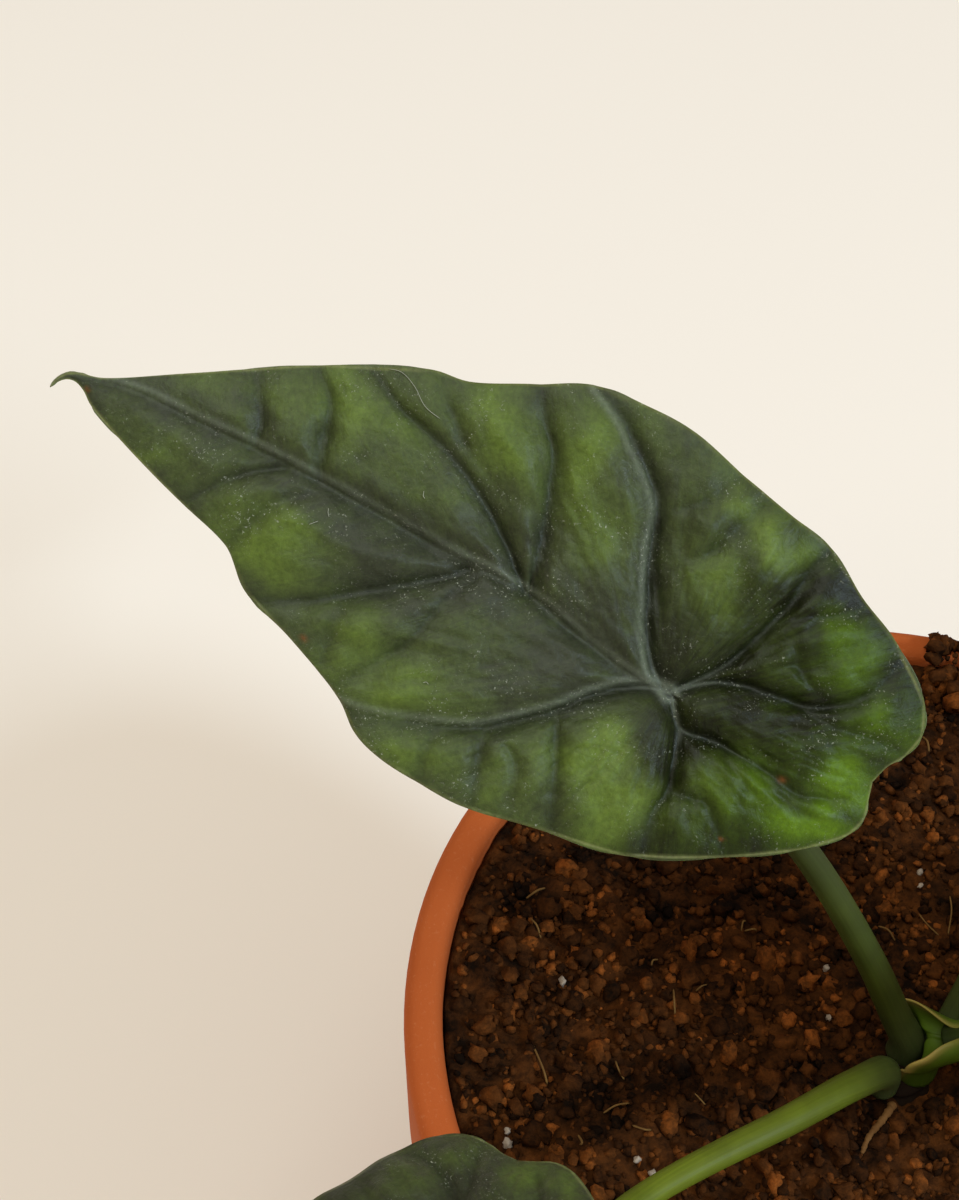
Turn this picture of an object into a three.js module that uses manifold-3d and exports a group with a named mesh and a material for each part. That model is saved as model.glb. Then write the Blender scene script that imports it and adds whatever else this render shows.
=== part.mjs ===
// A young Alocasia sinuata in a terracotta pot: four quilted leaves on slender stalks rise from a
// short crown in the soil. Millimetres, +Z up. The origin is on the ground at the middle of the pot,
// which is also the middle of the plant's reach. The viewer's side is -Y.
import * as THREE from "three";
import { mergeVertices } from "three/addons/utils/BufferGeometryUtils.js";
import Module from "manifold-3d";

const wasm = await Module();
wasm.setup();

const { lerp, smoothstep, clamp, degToRad, radToDeg, euclideanModulo } = THREE.MathUtils;
const CLEARANCE = 0.3; // between pieces that touch

// Pot: a plain thrown pot, 15 cm across its rim
const POT_HEIGHT = 135;
const RIM_RADIUS = 75;
const RIM_BAND = 27; // height of the thick band below the lip
const RIM_STEP = 2.2; // how far the band stands proud of the wall
const BASE_RADIUS = 51;
const WALL = 5.8;
const FLOOR = 7;
const DRAIN_RADIUS = 9;
const LIP_ROUND = 2.2;
const FOOT_ROUND = 1.5;
const BAND_ROUND = 1.3; // at the lower edge of the band
const FLOOR_FILLET = 4;
const POT_SIDES = 48;

// Soil and what lies in it
const SOIL_LEVEL = POT_HEIGHT - 4;
const SOIL_SIDES = 36;
const SOIL_RINGS = 8;
const CHIP_COUNT = 30;
const CHIP_SIZE = [1.7, 4];
const BARE_ROUND_CROWN = 20; // no chips nearer to the crown than this
const HEAP_DIRECTION = 57; // degrees: where the soil is heaped over the lip, at the back right
const HEAP_SPREAD = 20;
const HEAP_RISE = 3.6;
const HEAP_CLODS = 11;
const HEAP_CLOD_SIZE = [3.4, 5.2];
const HEAP_CLOD_SPREAD = 2.4; // how far out over the lip the clods lie

// Crown: the short stem that the leaf stalks stand on, and a dry root beside it
const CROWN = new THREE.Vector3(-1.3, -9.8, SOIL_LEVEL);
const CROWN_RADIUS = 6.6;
const CROWN_SUNK = 24;
const CROWN_RISE = 3.5;
const CROWN_SIDES = 16;
const ROOT_WAY = [[-3.6, -17.2, 132.6], [-6, -20.1, 132.4], [-9.2, -24.4, 131.6]];
const ROOT_RADII = [1, 0.6];

// Blade: one outline and one set of veins serve every leaf, scaled, mirrored and bent. x runs from
// the stalk towards the tip, y across, both in the flattened blade and from the stalk's joint.
const BLADE_THICKNESS = 0.9;
const UPPER_MARGIN = [
  [82.5, 2.3], [82.3, 1], [81.6, -0.1], [80.4, -0.8], [77.6, -1.6], [67.9, -7.3],
  [55.2, -15], [42.8, -20.8], [38.5, -21.5], [31.2, -25], [24.8, -28.1], [18.5, -28.7],
  [12.3, -28.6], [4.9, -26.9], [-2.6, -25.3], [-8.6, -24.2], [-14.7, -20.7], [-20.7, -18],
  [-27.2, -13.2], [-28.9, -9.6], [-28.4, -6.6], [-27, -4.4], [-26.3, -2],
];
const LOWER_MARGIN = [
  [82.5, 2.3], [81.9, 1.2], [81.2, 0.5], [80.2, 0.3], [78.8, 0.8], [77.2, 1.9],
  [71.3, 4.2], [62.7, 7], [54.9, 9.3], [50.4, 13], [43.4, 15.2], [34.7, 18.9],
  [31, 21.6], [27.2, 22.8], [21, 23.3], [15.5, 23.3], [8, 21.8], [-4.2, 19.5],
  [-14.8, 14.2], [-22.6, 9], [-26.7, 4.9], [-27.5, 2.4], [-26.9, 0.2], [-26.3, -2],
];
const AXIS = [
  [82.5, 2.3], [82, 1], [80.7, -0.2], [77.3, -0.6], [57.9, -2.6], [20.1, -2.4],
  [5.2, 0.4], [0, 0], [-14, 1.3], [-26.3, -2],
];
// Rows follow the side veins: how far along the axis, the upper margin and the lower margin each
// guide row stands, as parts of their lengths from the tip, and the share of the rows before it.
const GUIDE_ROWS = [
  [0, 0, 0, 0], [0.23, 0.18, 0.16, 0.16], [0.31, 0.24, 0.23, 0.23], [0.5, 0.28, 0.28, 0.32],
  [0.56, 0.3, 0.36, 0.36], [0.58, 0.43, 0.39, 0.44], [0.745, 0.49, 0.43, 0.53],
  [0.755, 0.73, 0.64, 0.69], [0.765, 0.85, 0.77, 0.81], [0.89, 0.94, 0.89, 0.92], [1, 1, 1, 1],
];
// Each vein: its run, how deep it cuts at its start and end (1 is down to the midrib's level), and
// how far its valley reaches to its right and to its left.
const VEINS = [
  {
    run: [[0, 0], [5.2, 0.4], [12.8, -0.9], [20.1, -2.4], [57.9, -2.6], [73.1, -1.9], [81, -0.3]],
    cut: [1, 0.9], reach: [3, 3],
  },
  {
    run: [
      [0, 0], [3, -1.5], [5.3, -4.3], [7.5, -8.6], [10, -14], [11.7, -18.9], [17.7, -24.1],
      [24.5, -28.2],
    ],
    cut: [1, 0.7], reach: [4.5, 2.4],
  },
  {
    run: [[0, 0], [-1.7, -2.3], [-4.2, -6.1], [-6.1, -11.2], [-7.7, -19], [-8.9, -25]],
    cut: [1, 0.5], reach: [2.6, 2.6],
  },
  {
    run: [[0, 0], [-3.9, -3.6], [-11.7, -5.7], [-17.6, -7.6], [-21.7, -12.9], [-22.2, -15.5]],
    cut: [1, 0.45], reach: [2.4, 2.4],
  },
  {
    run: [[-0.6, 0.6], [-3.1, 3.1], [-10.7, 2.7], [-19.4, 3.4], [-24, 1.5]],
    cut: [1, 0.4], reach: [2.2, 2.2],
  },
  {
    run: [[-0.6, 0.6], [-2.9, 3.3], [-5.2, 10.3], [-5.6, 16.2], [-6, 18.4]],
    cut: [1, 0.5], reach: [2.2, 2.2],
  },
  {
    run: [[0, 0], [5.1, 1.9], [10.8, 7.7], [17.9, 14.1], [27, 17.9], [34.2, 19.6]],
    cut: [1, 0.5], reach: [2.6, 3.6],
  },
  { run: [[28.2, -1.9], [32.7, 2.3], [44.4, 11], [50.8, 13.4]], cut: [0.9, 0.7], reach: [3, 3] },
  { run: [[26.9, -1.8], [29.2, 3.9], [32.1, 12.3], [36.3, 18.3]], cut: [0.5, 0.3], reach: [2.4, 2.4] },
  { run: [[53, -2.4], [60.6, 5], [62.6, 7.5]], cut: [0.6, 0.4], reach: [2.2, 2.2] },
  { run: [[21, -2.6], [30.6, -10], [39.6, -13.9], [48.9, -17.3]], cut: [0.95, 0.6], reach: [3, 3] },
  { run: [[20.1, -2.5], [23.7, -14], [30.8, -25.1]], cut: [0.95, 0.5], reach: [2.4, 2.4] },
  { run: [[48.8, -2.6], [52.5, -12.6], [54.8, -14.3]], cut: [0.7, 0.5], reach: [2.2, 2.2] },
  { run: [[57.6, -2.6], [61.4, -10.6]], cut: [0.6, 0.4], reach: [2.2, 2.2] },
  { run: [[11, 8.3], [5.1, 20.8]], cut: [0.6, 0.4], reach: [1.8, 1.8] },
  { run: [[17.7, 14.2], [14.8, 22.6]], cut: [0.6, 0.4], reach: [1.8, 1.8] },
];
const VALLEY_SPREAD = 1.25; // times its reach, where a valley's depth has fallen to a third
const QUILT_HEIGHT = 3.6; // how far the panels swell above the veins
const EDGE_QUILT = 0.4; // share of that left at the margin
const EDGE_BAND = 8; // over which the quilting fades towards the margin
const MARGIN_DROP = 0.8; // how far the very edge turns down
const MARGIN_ROUND = 1.2; // over which it does
const CUP = 0.0035; // upward curve of the two halves, per mm

// Leaves: where the stalk meets the blade, the way the tip points, how the blade is turned, its size
// along and across, and the stalk's foot on the crown, thickness and way
const LEAVES = [
  {
    joint: [-40.9, 0.5, 208.8], tipAzimuth: 158.4, tipRise: 18.1, roll: -38.1,
    scale: [1, 1], mirror: 1, droop: 0, rows: 46, columns: 13,
    stalk: {
      foot: [-0.8, -6.8], radii: [2.4, 1.6],
      way: [[-3, -5.6, 141], [-9, -4, 155], [-20.7, -0.8, 177]],
    },
  },
  {
    joint: [-65.2, -56.6, 164.6], tipAzimuth: 249, tipRise: 8, roll: 13,
    scale: [0.86, 1.01], mirror: 1, droop: 0.004, rows: 28, columns: 8,
    stalk: {
      foot: [-5, -12], radii: [2.3, 1.5],
      way: [[-11.8, -17.5, 143], [-20.8, -23.8, 146.5], [-42.7, -36.6, 149.5]],
    },
  },
  {
    joint: [49.4, -30, 184], tipAzimuth: -16, tipRise: -6, roll: 6,
    scale: [0.86, 0.88], mirror: -1, droop: 0.004, rows: 28, columns: 8,
    stalk: { foot: [0.6, -9.4], radii: [2.8, 1.6], way: [[5.8, -9.6, 141.6], [30, -17.5, 162]] },
  },
  {
    joint: [28.5, 57, 203], tipAzimuth: 72, tipRise: 8, roll: -6,
    scale: [0.88, 0.8], mirror: -1, droop: 0.003, rows: 28, columns: 8,
    stalk: { foot: [3.8, -6.9], radii: [1.9, 1.3], way: [[5.9, -4.2, 141], [16, 12, 170]] },
  },
];
const STALK_SIDES = 10;
const STALK_STEPS = 16;
const FOOT_RISE = 1.5; // the stalk leaves the crown straight up for this length
const HEAD_RISE = 1.2; // and meets the blade square for this one
const NECK_DROP = 4; // the last bend: how far below the blade
const NECK_BACK = 4; // and how far back along the stalk's way

// The third leaf's stalk ends in a sheath, open on its upper left, that clasps the other stalks
const SHEATHED_LEAF = 2; // counted from 0
const SHEATH_SIDES = 12;
const SHEATH_STEPS = 26;
const SHEATH_FLARE = 1.05;
const SHEATH_END = 0.13; // part of the stalk's length over which the sheath narrows
const SHEATH_MOUTH = { from: [-9.8, -7.2, 144], to: [3.9, -9.2, 139.4], radii: [5.2, 1] };

const TERRACOTTA = { color: 0xb1592f, roughness: 0.85 };
const SOIL_BROWN = { color: 0x2a190e, roughness: 1 };
const LEAF_GREEN = { color: 0x46562f, roughness: 0.42 };
const STALK_GREEN = { color: 0x4f6420, roughness: 0.5 };
const CROWN_GREEN = { color: 0x3f4f16, roughness: 0.6 };
const DRY_TAN = { color: 0x8a6238, roughness: 0.8 };

const plant = new THREE.Group();

function addPiece(name, geometry, { color, roughness }) {
  const material = new THREE.MeshStandardMaterial({ color, roughness, metalness: 0 });
  const mesh = new THREE.Mesh(geometry, material);
  mesh.name = name;
  plant.add(mesh);
}

// A repeatable stream of numbers between 0 and 1
function randomStream(seed) {
  let state = seed;
  return () => {
    state = (state * 1664525 + 1013904223) % 4294967296;
    return state / 4294967296;
  };
}

// The same surface with its shared corners merged
function closed(geometry) {
  const bare = geometry.clone();
  const extras = Object.keys(bare.attributes).filter((name) => name !== "position");
  extras.forEach((name) => bare.deleteAttribute(name));
  return mergeVertices(bare, 1e-4);
}

function toSolid(geometry) {
  const welded = closed(geometry);
  const triVerts = new Uint32Array(welded.index.array);
  const vertProperties = new Float32Array(welded.attributes.position.array);
  return new wasm.Manifold(new wasm.Mesh({ numProp: 3, vertProperties, triVerts }));
}

function toGeometry(solid) {
  const mesh = solid.getMesh();
  const geometry = new THREE.BufferGeometry();
  geometry.setAttribute("position", new THREE.BufferAttribute(new Float32Array(mesh.vertProperties), 3));
  geometry.setIndex(new THREE.BufferAttribute(new Uint32Array(mesh.triVerts), 1));
  return geometry;
}

function cutAway(solid, tools) {
  const cut = tools.reduce((body, tool) => body.subtract(tool), solid);
  return cut.decompose().reduce((best, body) => (body.volume() > best.volume() ? body : best));
}

function vectors(places) {
  return places.map((place) => new THREE.Vector3(...place));
}

// The pot

// A turned body about Z from [radius, height] points
function turned(profile, sides) {
  const points = profile.map(([radius, height]) => new THREE.Vector2(radius, height));
  return new THREE.LatheGeometry(points, sides).rotateX(Math.PI / 2);
}

function innerRadiusAt(height) {
  const flare = (RIM_RADIUS - RIM_STEP - BASE_RADIUS) / (POT_HEIGHT - RIM_BAND);
  return Math.min(BASE_RADIUS + flare * height, RIM_RADIUS) - WALL;
}

// A quarter of the lip's round about a centre, in three steps
function quarterRound(radius, height, from) {
  const steps = [0, 1, 2, 3];
  return steps.map((step) => {
    const angle = from + (step * Math.PI) / 6;
    return [radius + LIP_ROUND * Math.cos(angle), height + LIP_ROUND * Math.sin(angle)];
  });
}

function makePot() {
  const bandFoot = POT_HEIGHT - RIM_BAND;
  const inner = RIM_RADIUS - WALL;
  const lipCentre = POT_HEIGHT - LIP_ROUND;
  const profile = [
    [DRAIN_RADIUS, 0],
    [BASE_RADIUS - FOOT_ROUND, 0],
    [BASE_RADIUS, FOOT_ROUND],
    [RIM_RADIUS - RIM_STEP - BAND_ROUND, bandFoot],
    [RIM_RADIUS - BAND_ROUND, bandFoot + BAND_ROUND],
    ...quarterRound(RIM_RADIUS - LIP_ROUND, lipCentre, 0),
    ...quarterRound(inner + LIP_ROUND, lipCentre, Math.PI / 2),
    [inner, bandFoot],
    [innerRadiusAt(FLOOR + FLOOR_FILLET), FLOOR + FLOOR_FILLET],
    [innerRadiusAt(FLOOR) - FLOOR_FILLET, FLOOR],
    [DRAIN_RADIUS, FLOOR],
    [DRAIN_RADIUS, 0],
  ];
  return closed(turned(profile, POT_SIDES));
}

// The soil

// How high the uneven soil stands above its level at a place, before the clods
function soilRelief(x, y) {
  const lumps = 0.8 * Math.sin(0.19 * x + 1.3) * Math.cos(0.16 * y) + 0.5 * Math.sin(0.43 * x - 0.37 * y);
  const direction = radToDeg(Math.atan2(y, x));
  const turn = euclideanModulo(direction - HEAP_DIRECTION + 180, 360) - 180;
  const outward = smoothstep(Math.hypot(x, y), 40, 68);
  return lumps * (1 - 0.7 * outward) + HEAP_RISE * outward * Math.exp(-((turn / HEAP_SPREAD) ** 2));
}

// A lump of bark or soil, unevenly squashed and turned
function clod(x, y, z, size, random) {
  const lump = new THREE.IcosahedronGeometry(size, 0);
  lump.scale(1, lerp(0.7, 1.2, random()), lerp(0.6, 0.9, random()));
  lump.rotateX(random() * Math.PI).rotateZ(random() * 2 * Math.PI);
  return toSolid(lump.translate(x, y, z));
}

function makeSoil(holes) {
  const bandFoot = POT_HEIGHT - RIM_BAND;
  const reach = RIM_RADIUS - WALL - CLEARANCE;
  const profile = [
    [0, FLOOR + CLEARANCE],
    [innerRadiusAt(FLOOR) - FLOOR_FILLET - 2, FLOOR + CLEARANCE],
    [innerRadiusAt(FLOOR + 6) - 1, FLOOR + 6],
    [reach - 0.2, bandFoot],
  ];
  for (let ring = SOIL_RINGS; ring >= 0; ring -= 1) {
    profile.push([(reach * ring) / SOIL_RINGS, SOIL_LEVEL]);
  }
  const bed = closed(turned(profile, SOIL_SIDES));
  const place = bed.attributes.position;
  for (let i = 0; i < place.count; i += 1) {
    if (place.getZ(i) > SOIL_LEVEL - 1) {
      place.setZ(i, SOIL_LEVEL + soilRelief(place.getX(i), place.getY(i)));
    }
  }
  const clods = [...chips(reach - 5), ...heapClods(reach)];
  const whole = clods.reduce((body, lump) => body.add(lump), toSolid(bed));
  const lipSpace = turned([
    [reach, bandFoot], [RIM_RADIUS + 12, bandFoot], [RIM_RADIUS + 12, POT_HEIGHT + CLEARANCE],
    [reach, POT_HEIGHT + CLEARANCE], [reach, bandFoot],
  ], POT_SIDES);
  return toGeometry(cutAway(whole, [toSolid(lipSpace), ...holes]));
}

// Bark chips strewn over the soil, half sunk in it
function chips(reach) {
  const random = randomStream(7);
  const lumps = [];
  for (let i = 0; i < CHIP_COUNT; i += 1) {
    const angle = random() * 2 * Math.PI;
    const radius = reach * Math.sqrt(random());
    const x = radius * Math.cos(angle);
    const y = radius * Math.sin(angle);
    const size = lerp(...CHIP_SIZE, random() ** 2);
    if (Math.hypot(x - CROWN.x, y - CROWN.y) > BARE_ROUND_CROWN) {
      lumps.push(clod(x, y, SOIL_LEVEL + soilRelief(x, y), size, random));
    }
  }
  return lumps;
}

// Clods that lie along the lip, where the soil is heaped over it
function heapClods(reach) {
  const random = randomStream(19);
  return Array.from({ length: HEAP_CLODS }, (_, i) => {
    const turn = (2 * (i + 0.6 * random())) / HEAP_CLODS - 1;
    const angle = degToRad(HEAP_DIRECTION + HEAP_SPREAD * turn);
    const radius = reach + HEAP_CLOD_SPREAD * random();
    const size = lerp(...HEAP_CLOD_SIZE, random());
    return clod(radius * Math.cos(angle), radius * Math.sin(angle), POT_HEIGHT + 0.6, size, random);
  });
}

// Crown, root and stalks

// A round bar that follows a curve: a cylinder whose rings are carried along it. radiusAt gives its
// radius at a part of the way.
function bentBar(curve, radiusAt, sides, steps) {
  const bar = new THREE.CylinderGeometry(1, 1, 1, sides, steps);
  const place = bar.attributes.position;
  const point = new THREE.Vector3();
  const acrossAll = new THREE.Vector3(0.3, 0.95, 0).normalize(); // no bar here runs this way
  for (let i = 0; i < place.count; i += 1) {
    const along = clamp(place.getY(i) + 0.5, 0, 1);
    const tangent = curve.getTangentAt(along);
    const side = acrossAll.clone().cross(tangent).normalize();
    const top = tangent.clone().cross(side);
    const radius = radiusAt(along);
    point.copy(curve.getPointAt(along));
    point.addScaledVector(side, place.getZ(i) * radius);
    point.addScaledVector(top, place.getX(i) * radius);
    place.setXYZ(i, point.x, point.y, point.z);
  }
  return closed(bar);
}

// grow makes it larger all round, for the hole that it stands in
function crownBody(grow) {
  const radius = CROWN_RADIUS + grow;
  const sunk = CROWN_SUNK + grow;
  const profile = [
    [0, -sunk], [radius * 0.6, -sunk], [radius, -sunk * 0.6], [radius * 0.96, 0],
    [radius * 0.93, CROWN_RISE - 0.6], [radius * 0.86, CROWN_RISE], [0, CROWN_RISE],
  ];
  return closed(turned(profile, CROWN_SIDES).translate(CROWN.x, CROWN.y, CROWN.z));
}

function rootBar(grow) {
  const curve = new THREE.CatmullRomCurve3(vectors(ROOT_WAY));
  return bentBar(curve, (along) => lerp(...ROOT_RADII, along) + grow, 8, 4);
}

function stalkCurve({ joint, stalk }, turn) {
  const normal = new THREE.Vector3(0, 0, 1).applyMatrix4(turn);
  const foot = new THREE.Vector3(...stalk.foot, CROWN.z + CROWN_RISE + CLEARANCE);
  const upright = foot.clone().setZ(foot.z + FOOT_RISE);
  const way = vectors(stalk.way);
  const head = new THREE.Vector3(...joint).addScaledVector(normal, -BLADE_THICKNESS - CLEARANCE);
  const shoulder = head.clone().addScaledVector(normal, -HEAD_RISE);
  const back = way.at(-1).clone().sub(head).normalize();
  const neck = head.clone().addScaledVector(normal, -NECK_DROP).addScaledVector(back, NECK_BACK);
  return new THREE.CatmullRomCurve3([foot, upright, ...way, neck, shoulder, head]);
}

function stalkBar(curve, radii, grow = 0) {
  return bentBar(curve, (along) => lerp(...radii, along) + grow, STALK_SIDES, STALK_STEPS);
}

// Flared at its foot, hollowed where its mouth opens, and clear of the stalks that it clasps
function sheathedStalk(curve, radii, clasped) {
  const flare = (along) => 1 + SHEATH_FLARE * (1 - smoothstep(along, 0, SHEATH_END));
  const bar = bentBar(curve, (along) => lerp(...radii, along) * flare(along), SHEATH_SIDES, SHEATH_STEPS);
  const mouthLine = new THREE.LineCurve3(...vectors([SHEATH_MOUTH.from, SHEATH_MOUTH.to]));
  const mouth = bentBar(mouthLine, (along) => lerp(...SHEATH_MOUTH.radii, along), SHEATH_SIDES, 1);
  return toGeometry(cutAway(toSolid(bar), [mouth, ...clasped].map(toSolid)));
}

// Blades

function smoothCurve(points) {
  return new THREE.CatmullRomCurve3(points.map(([x, y]) => new THREE.Vector3(x, y, 0)));
}

// How far a place lies from a run of points, on which side of it, and how far along it
function nearestOnRun(run, x, y) {
  let best = { distance: Infinity };
  for (let i = 0; i + 1 < run.length; i += 1) {
    const [ax, ay] = run[i];
    const [dx, dy] = [run[i + 1][0] - ax, run[i + 1][1] - ay];
    const t = clamp(((x - ax) * dx + (y - ay) * dy) / (dx * dx + dy * dy), 0, 1);
    const distance = Math.hypot(x - ax - t * dx, y - ay - t * dy);
    if (distance < best.distance) {
      const side = dx * (y - ay) - dy * (x - ax) > 0 ? 1 : 0;
      best = { distance, side, along: (i + t) / (run.length - 1) };
    }
  }
  return best;
}

// How deep the veins cut at a place: 1 at the bottom of a main vein, 0 far from all of them
function veinCut(x, y) {
  const cubes = VEINS.map(({ run, cut, reach }) => {
    const { distance, side, along } = nearestOnRun(run, x, y);
    const valley = Math.exp(-((distance / (VALLEY_SPREAD * reach[side])) ** 2));
    return (lerp(...cut, along) * valley) ** 3;
  });
  return Math.min(1, Math.cbrt(cubes.reduce((sum, cube) => sum + cube)));
}

// Height of the upper face above the stalk's joint
function bladeHeight(x, y, droop) {
  const insets = [UPPER_MARGIN, LOWER_MARGIN].map((margin) => nearestOnRun(margin, x, y).distance);
  const inset = Math.min(...insets);
  const fade = lerp(EDGE_QUILT, 1, smoothstep(inset, 0, EDGE_BAND));
  const swell = QUILT_HEIGHT * fade * (1 - veinCut(x, y));
  return swell - MARGIN_DROP * Math.exp(-inset / MARGIN_ROUND) + CUP * y * y - droop * x * x;
}

// Where a row stands, from the share of the rows before it: along the axis and the two margins
function rowPlace(share) {
  const next = Math.max(1, GUIDE_ROWS.findIndex((guide) => guide[3] >= share));
  const [before, after] = [GUIDE_ROWS[next - 1], GUIDE_ROWS[next]];
  const t = (share - before[3]) / (after[3] - before[3]);
  return [0, 1, 2].map((k) => lerp(before[k], after[k], t));
}

// Rows cross the blade from one margin over the axis to the other. The first is next to the tip and
// the last next to the notch.
function makeBlade({ scale, mirror, droop, rows, columns }) {
  const [upper, lower, axis] = [UPPER_MARGIN, LOWER_MARGIN, AXIS].map(smoothCurve);
  const places = [];
  const addPlace = (x, y) => {
    places.push([x * scale[0], y * scale[1] * mirror, bladeHeight(x, y, droop) * scale[0]]);
  };
  for (let row = 1; row < rows; row += 1) {
    const [alongAxis, alongUpper, alongLower] = rowPlace(row / rows);
    const middle = axis.getPointAt(alongAxis);
    for (let column = -columns; column <= columns; column += 1) {
      const margin = column < 0 ? upper.getPointAt(alongUpper) : lower.getPointAt(alongLower);
      const point = middle.clone().lerp(margin, Math.abs(column) / columns);
      addPlace(point.x, point.y);
    }
  }
  const tip = places.length;
  addPlace(...UPPER_MARGIN[0]);
  const notch = places.length;
  addPlace(...UPPER_MARGIN.at(-1));

  const width = 2 * columns + 1;
  const at = (row, column) => (row - 1) * width + column;
  const faces = [];
  for (let column = 0; column + 1 < width; column += 1) {
    faces.push([tip, at(1, column), at(1, column + 1)]);
    faces.push([notch, at(rows - 1, column + 1), at(rows - 1, column)]);
    for (let row = 1; row + 1 < rows; row += 1) {
      faces.push([at(row, column), at(row + 1, column), at(row, column + 1)]);
      faces.push([at(row, column + 1), at(row + 1, column), at(row + 1, column + 1)]);
    }
  }
  const sideRows = Array.from({ length: rows - 1 }, (_, i) => i + 1);
  const upperRim = sideRows.map((row) => at(row, 0));
  const lowerRim = sideRows.map((row) => at(row, width - 1)).reverse();
  return thickened(places, faces, [tip, ...upperRim, notch, ...lowerRim], mirror > 0);
}

// A closed solid from one face, the same face a thickness below it, and the wall between them
function thickened(places, faces, rim, turnOver) {
  const count = places.length;
  const all = [...places, ...places.map(([x, y, z]) => [x, y, z - BLADE_THICKNESS])];
  const triangles = [...faces, ...faces.map(([a, b, c]) => [a + count, c + count, b + count])];
  rim.forEach((from, i) => {
    const to = rim[(i + 1) % rim.length];
    triangles.push([from, from + count, to + count]);
    triangles.push([from, to + count, to]);
  });
  const wound = turnOver ? triangles.map(([a, b, c]) => [a, c, b]) : triangles;
  const geometry = new THREE.BufferGeometry();
  geometry.setAttribute("position", new THREE.Float32BufferAttribute(all.flat(), 3));
  geometry.setIndex(wound.flat());
  return geometry;
}

// The turn that takes the blade's own directions to the plant's
function bladeTurn({ tipAzimuth, tipRise, roll }) {
  const [azimuth, rise, tilt] = [tipAzimuth, tipRise, roll].map(degToRad);
  const level = new THREE.Matrix4().makeRotationZ(azimuth);
  const pitch = new THREE.Matrix4().makeRotationY(-rise);
  return level.multiply(pitch).multiply(new THREE.Matrix4().makeRotationX(tilt));
}

addPiece("pot", makePot(), TERRACOTTA);
addPiece("soil", makeSoil([crownBody(CLEARANCE), rootBar(CLEARANCE)].map(toSolid)), SOIL_BROWN);
addPiece("crown", crownBody(0), CROWN_GREEN);
addPiece("dry_root", rootBar(0), DRY_TAN);

const turns = LEAVES.map(bladeTurn);
const curves = LEAVES.map((leaf, i) => stalkCurve(leaf, turns[i]));

function makeStalk(i) {
  const { radii } = LEAVES[i].stalk;
  if (i !== SHEATHED_LEAF) {
    return stalkBar(curves[i], radii);
  }
  const others = LEAVES.map((leaf, j) => stalkBar(curves[j], leaf.stalk.radii, CLEARANCE));
  return sheathedStalk(curves[i], radii, others.filter((_, j) => j !== i));
}

LEAVES.forEach((leaf, i) => {
  addPiece(`petiole_${i + 1}`, makeStalk(i), STALK_GREEN);
  const blade = makeBlade(leaf).applyMatrix4(turns[i]).translate(...leaf.joint);
  addPiece(`blade_${i + 1}`, blade, LEAF_GREEN);
});

export default plant;
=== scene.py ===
# A young Alocasia sinuata in a terracotta pot: the finish of every surface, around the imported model.
# Lengths are in millimetres, and MM turns them to metres. +Z is up, the origin is on the ground at
# the middle of the pot, and the viewer stands on the side of -Y.
import math

import bpy
import numpy as np
from mathutils import Euler, Matrix, Vector, noise


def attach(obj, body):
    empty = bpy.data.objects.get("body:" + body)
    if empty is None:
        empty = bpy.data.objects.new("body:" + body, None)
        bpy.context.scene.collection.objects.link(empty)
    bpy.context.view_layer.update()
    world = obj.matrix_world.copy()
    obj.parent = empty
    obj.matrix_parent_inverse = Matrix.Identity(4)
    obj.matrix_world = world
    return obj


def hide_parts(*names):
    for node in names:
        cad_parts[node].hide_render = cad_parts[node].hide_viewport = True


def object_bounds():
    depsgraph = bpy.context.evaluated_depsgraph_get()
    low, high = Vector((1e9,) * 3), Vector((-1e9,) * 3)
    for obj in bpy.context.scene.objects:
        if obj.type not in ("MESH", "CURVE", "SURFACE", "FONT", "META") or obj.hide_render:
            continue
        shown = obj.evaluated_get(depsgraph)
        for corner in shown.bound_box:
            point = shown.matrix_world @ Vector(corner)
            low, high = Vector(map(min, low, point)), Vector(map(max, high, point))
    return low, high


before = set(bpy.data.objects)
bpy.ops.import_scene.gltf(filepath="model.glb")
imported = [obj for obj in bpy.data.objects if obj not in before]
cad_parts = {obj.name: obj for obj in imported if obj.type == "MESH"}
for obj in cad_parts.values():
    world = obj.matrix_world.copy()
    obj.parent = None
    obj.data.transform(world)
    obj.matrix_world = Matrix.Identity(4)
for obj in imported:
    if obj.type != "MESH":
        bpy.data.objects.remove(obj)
cad_low, cad_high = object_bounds()

MM = 0.001
FULL_TURN = 2 * math.pi

# Camera: where the photograph was taken from, and how far it looks down
CAMERA_PLACE = (-63.6, -133.7, 377.1)
CAMERA_DOWN = 48.46
LENS = 54
SENSOR = 36

# Pot
POT_HEIGHT = 135
RIM_RADIUS = 75
RIM_BAND = 27
RIM_STEP = 2.2
BASE_RADIUS = 51
FOOT_ROUND = 1.5
WALL = 5.8
FLOOR = 7
DRAIN_RADIUS = 9
DRAIN_EDGE = 0.6
LIP_ROUND = 2.2

# Soil, its heap at the back, which starts and ends this far from the middle, and its hollow
SOIL_LEVEL = POT_HEIGHT - 4
SOIL_REACH = RIM_RADIUS - WALL - 0.3
HEAP_DIRECTION = 57
HEAP_SPREAD = 20
HEAP_RISE = 3.6
HEAP_RUN = (40, 68)
CRUMBLE = 1.1
CRUMBLE_SIZE = 5
CROWN = (-1.3, -9.8)
CROWN_RADIUS = 6.6

# The crumbs: name, times its faces are split, count, smallest and largest radius, how far they stay
# off the crown's hollow, and the seeds of their places and shapes
CRUMBS = [
    ("soil_crumbs_fine", 1, 8200, 0.4, 1.1, -2.4, 16, 8200),
    ("soil_crumbs_coarse", 2, 1500, 0.9, 2, -0.5, 18, 1500),
]

# How uneven the lumps of soil and perlite are, and how flat the flattest is
LUMP_ROUGHNESS = 0.28
LUMP_FLATNESS = 0.6

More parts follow.
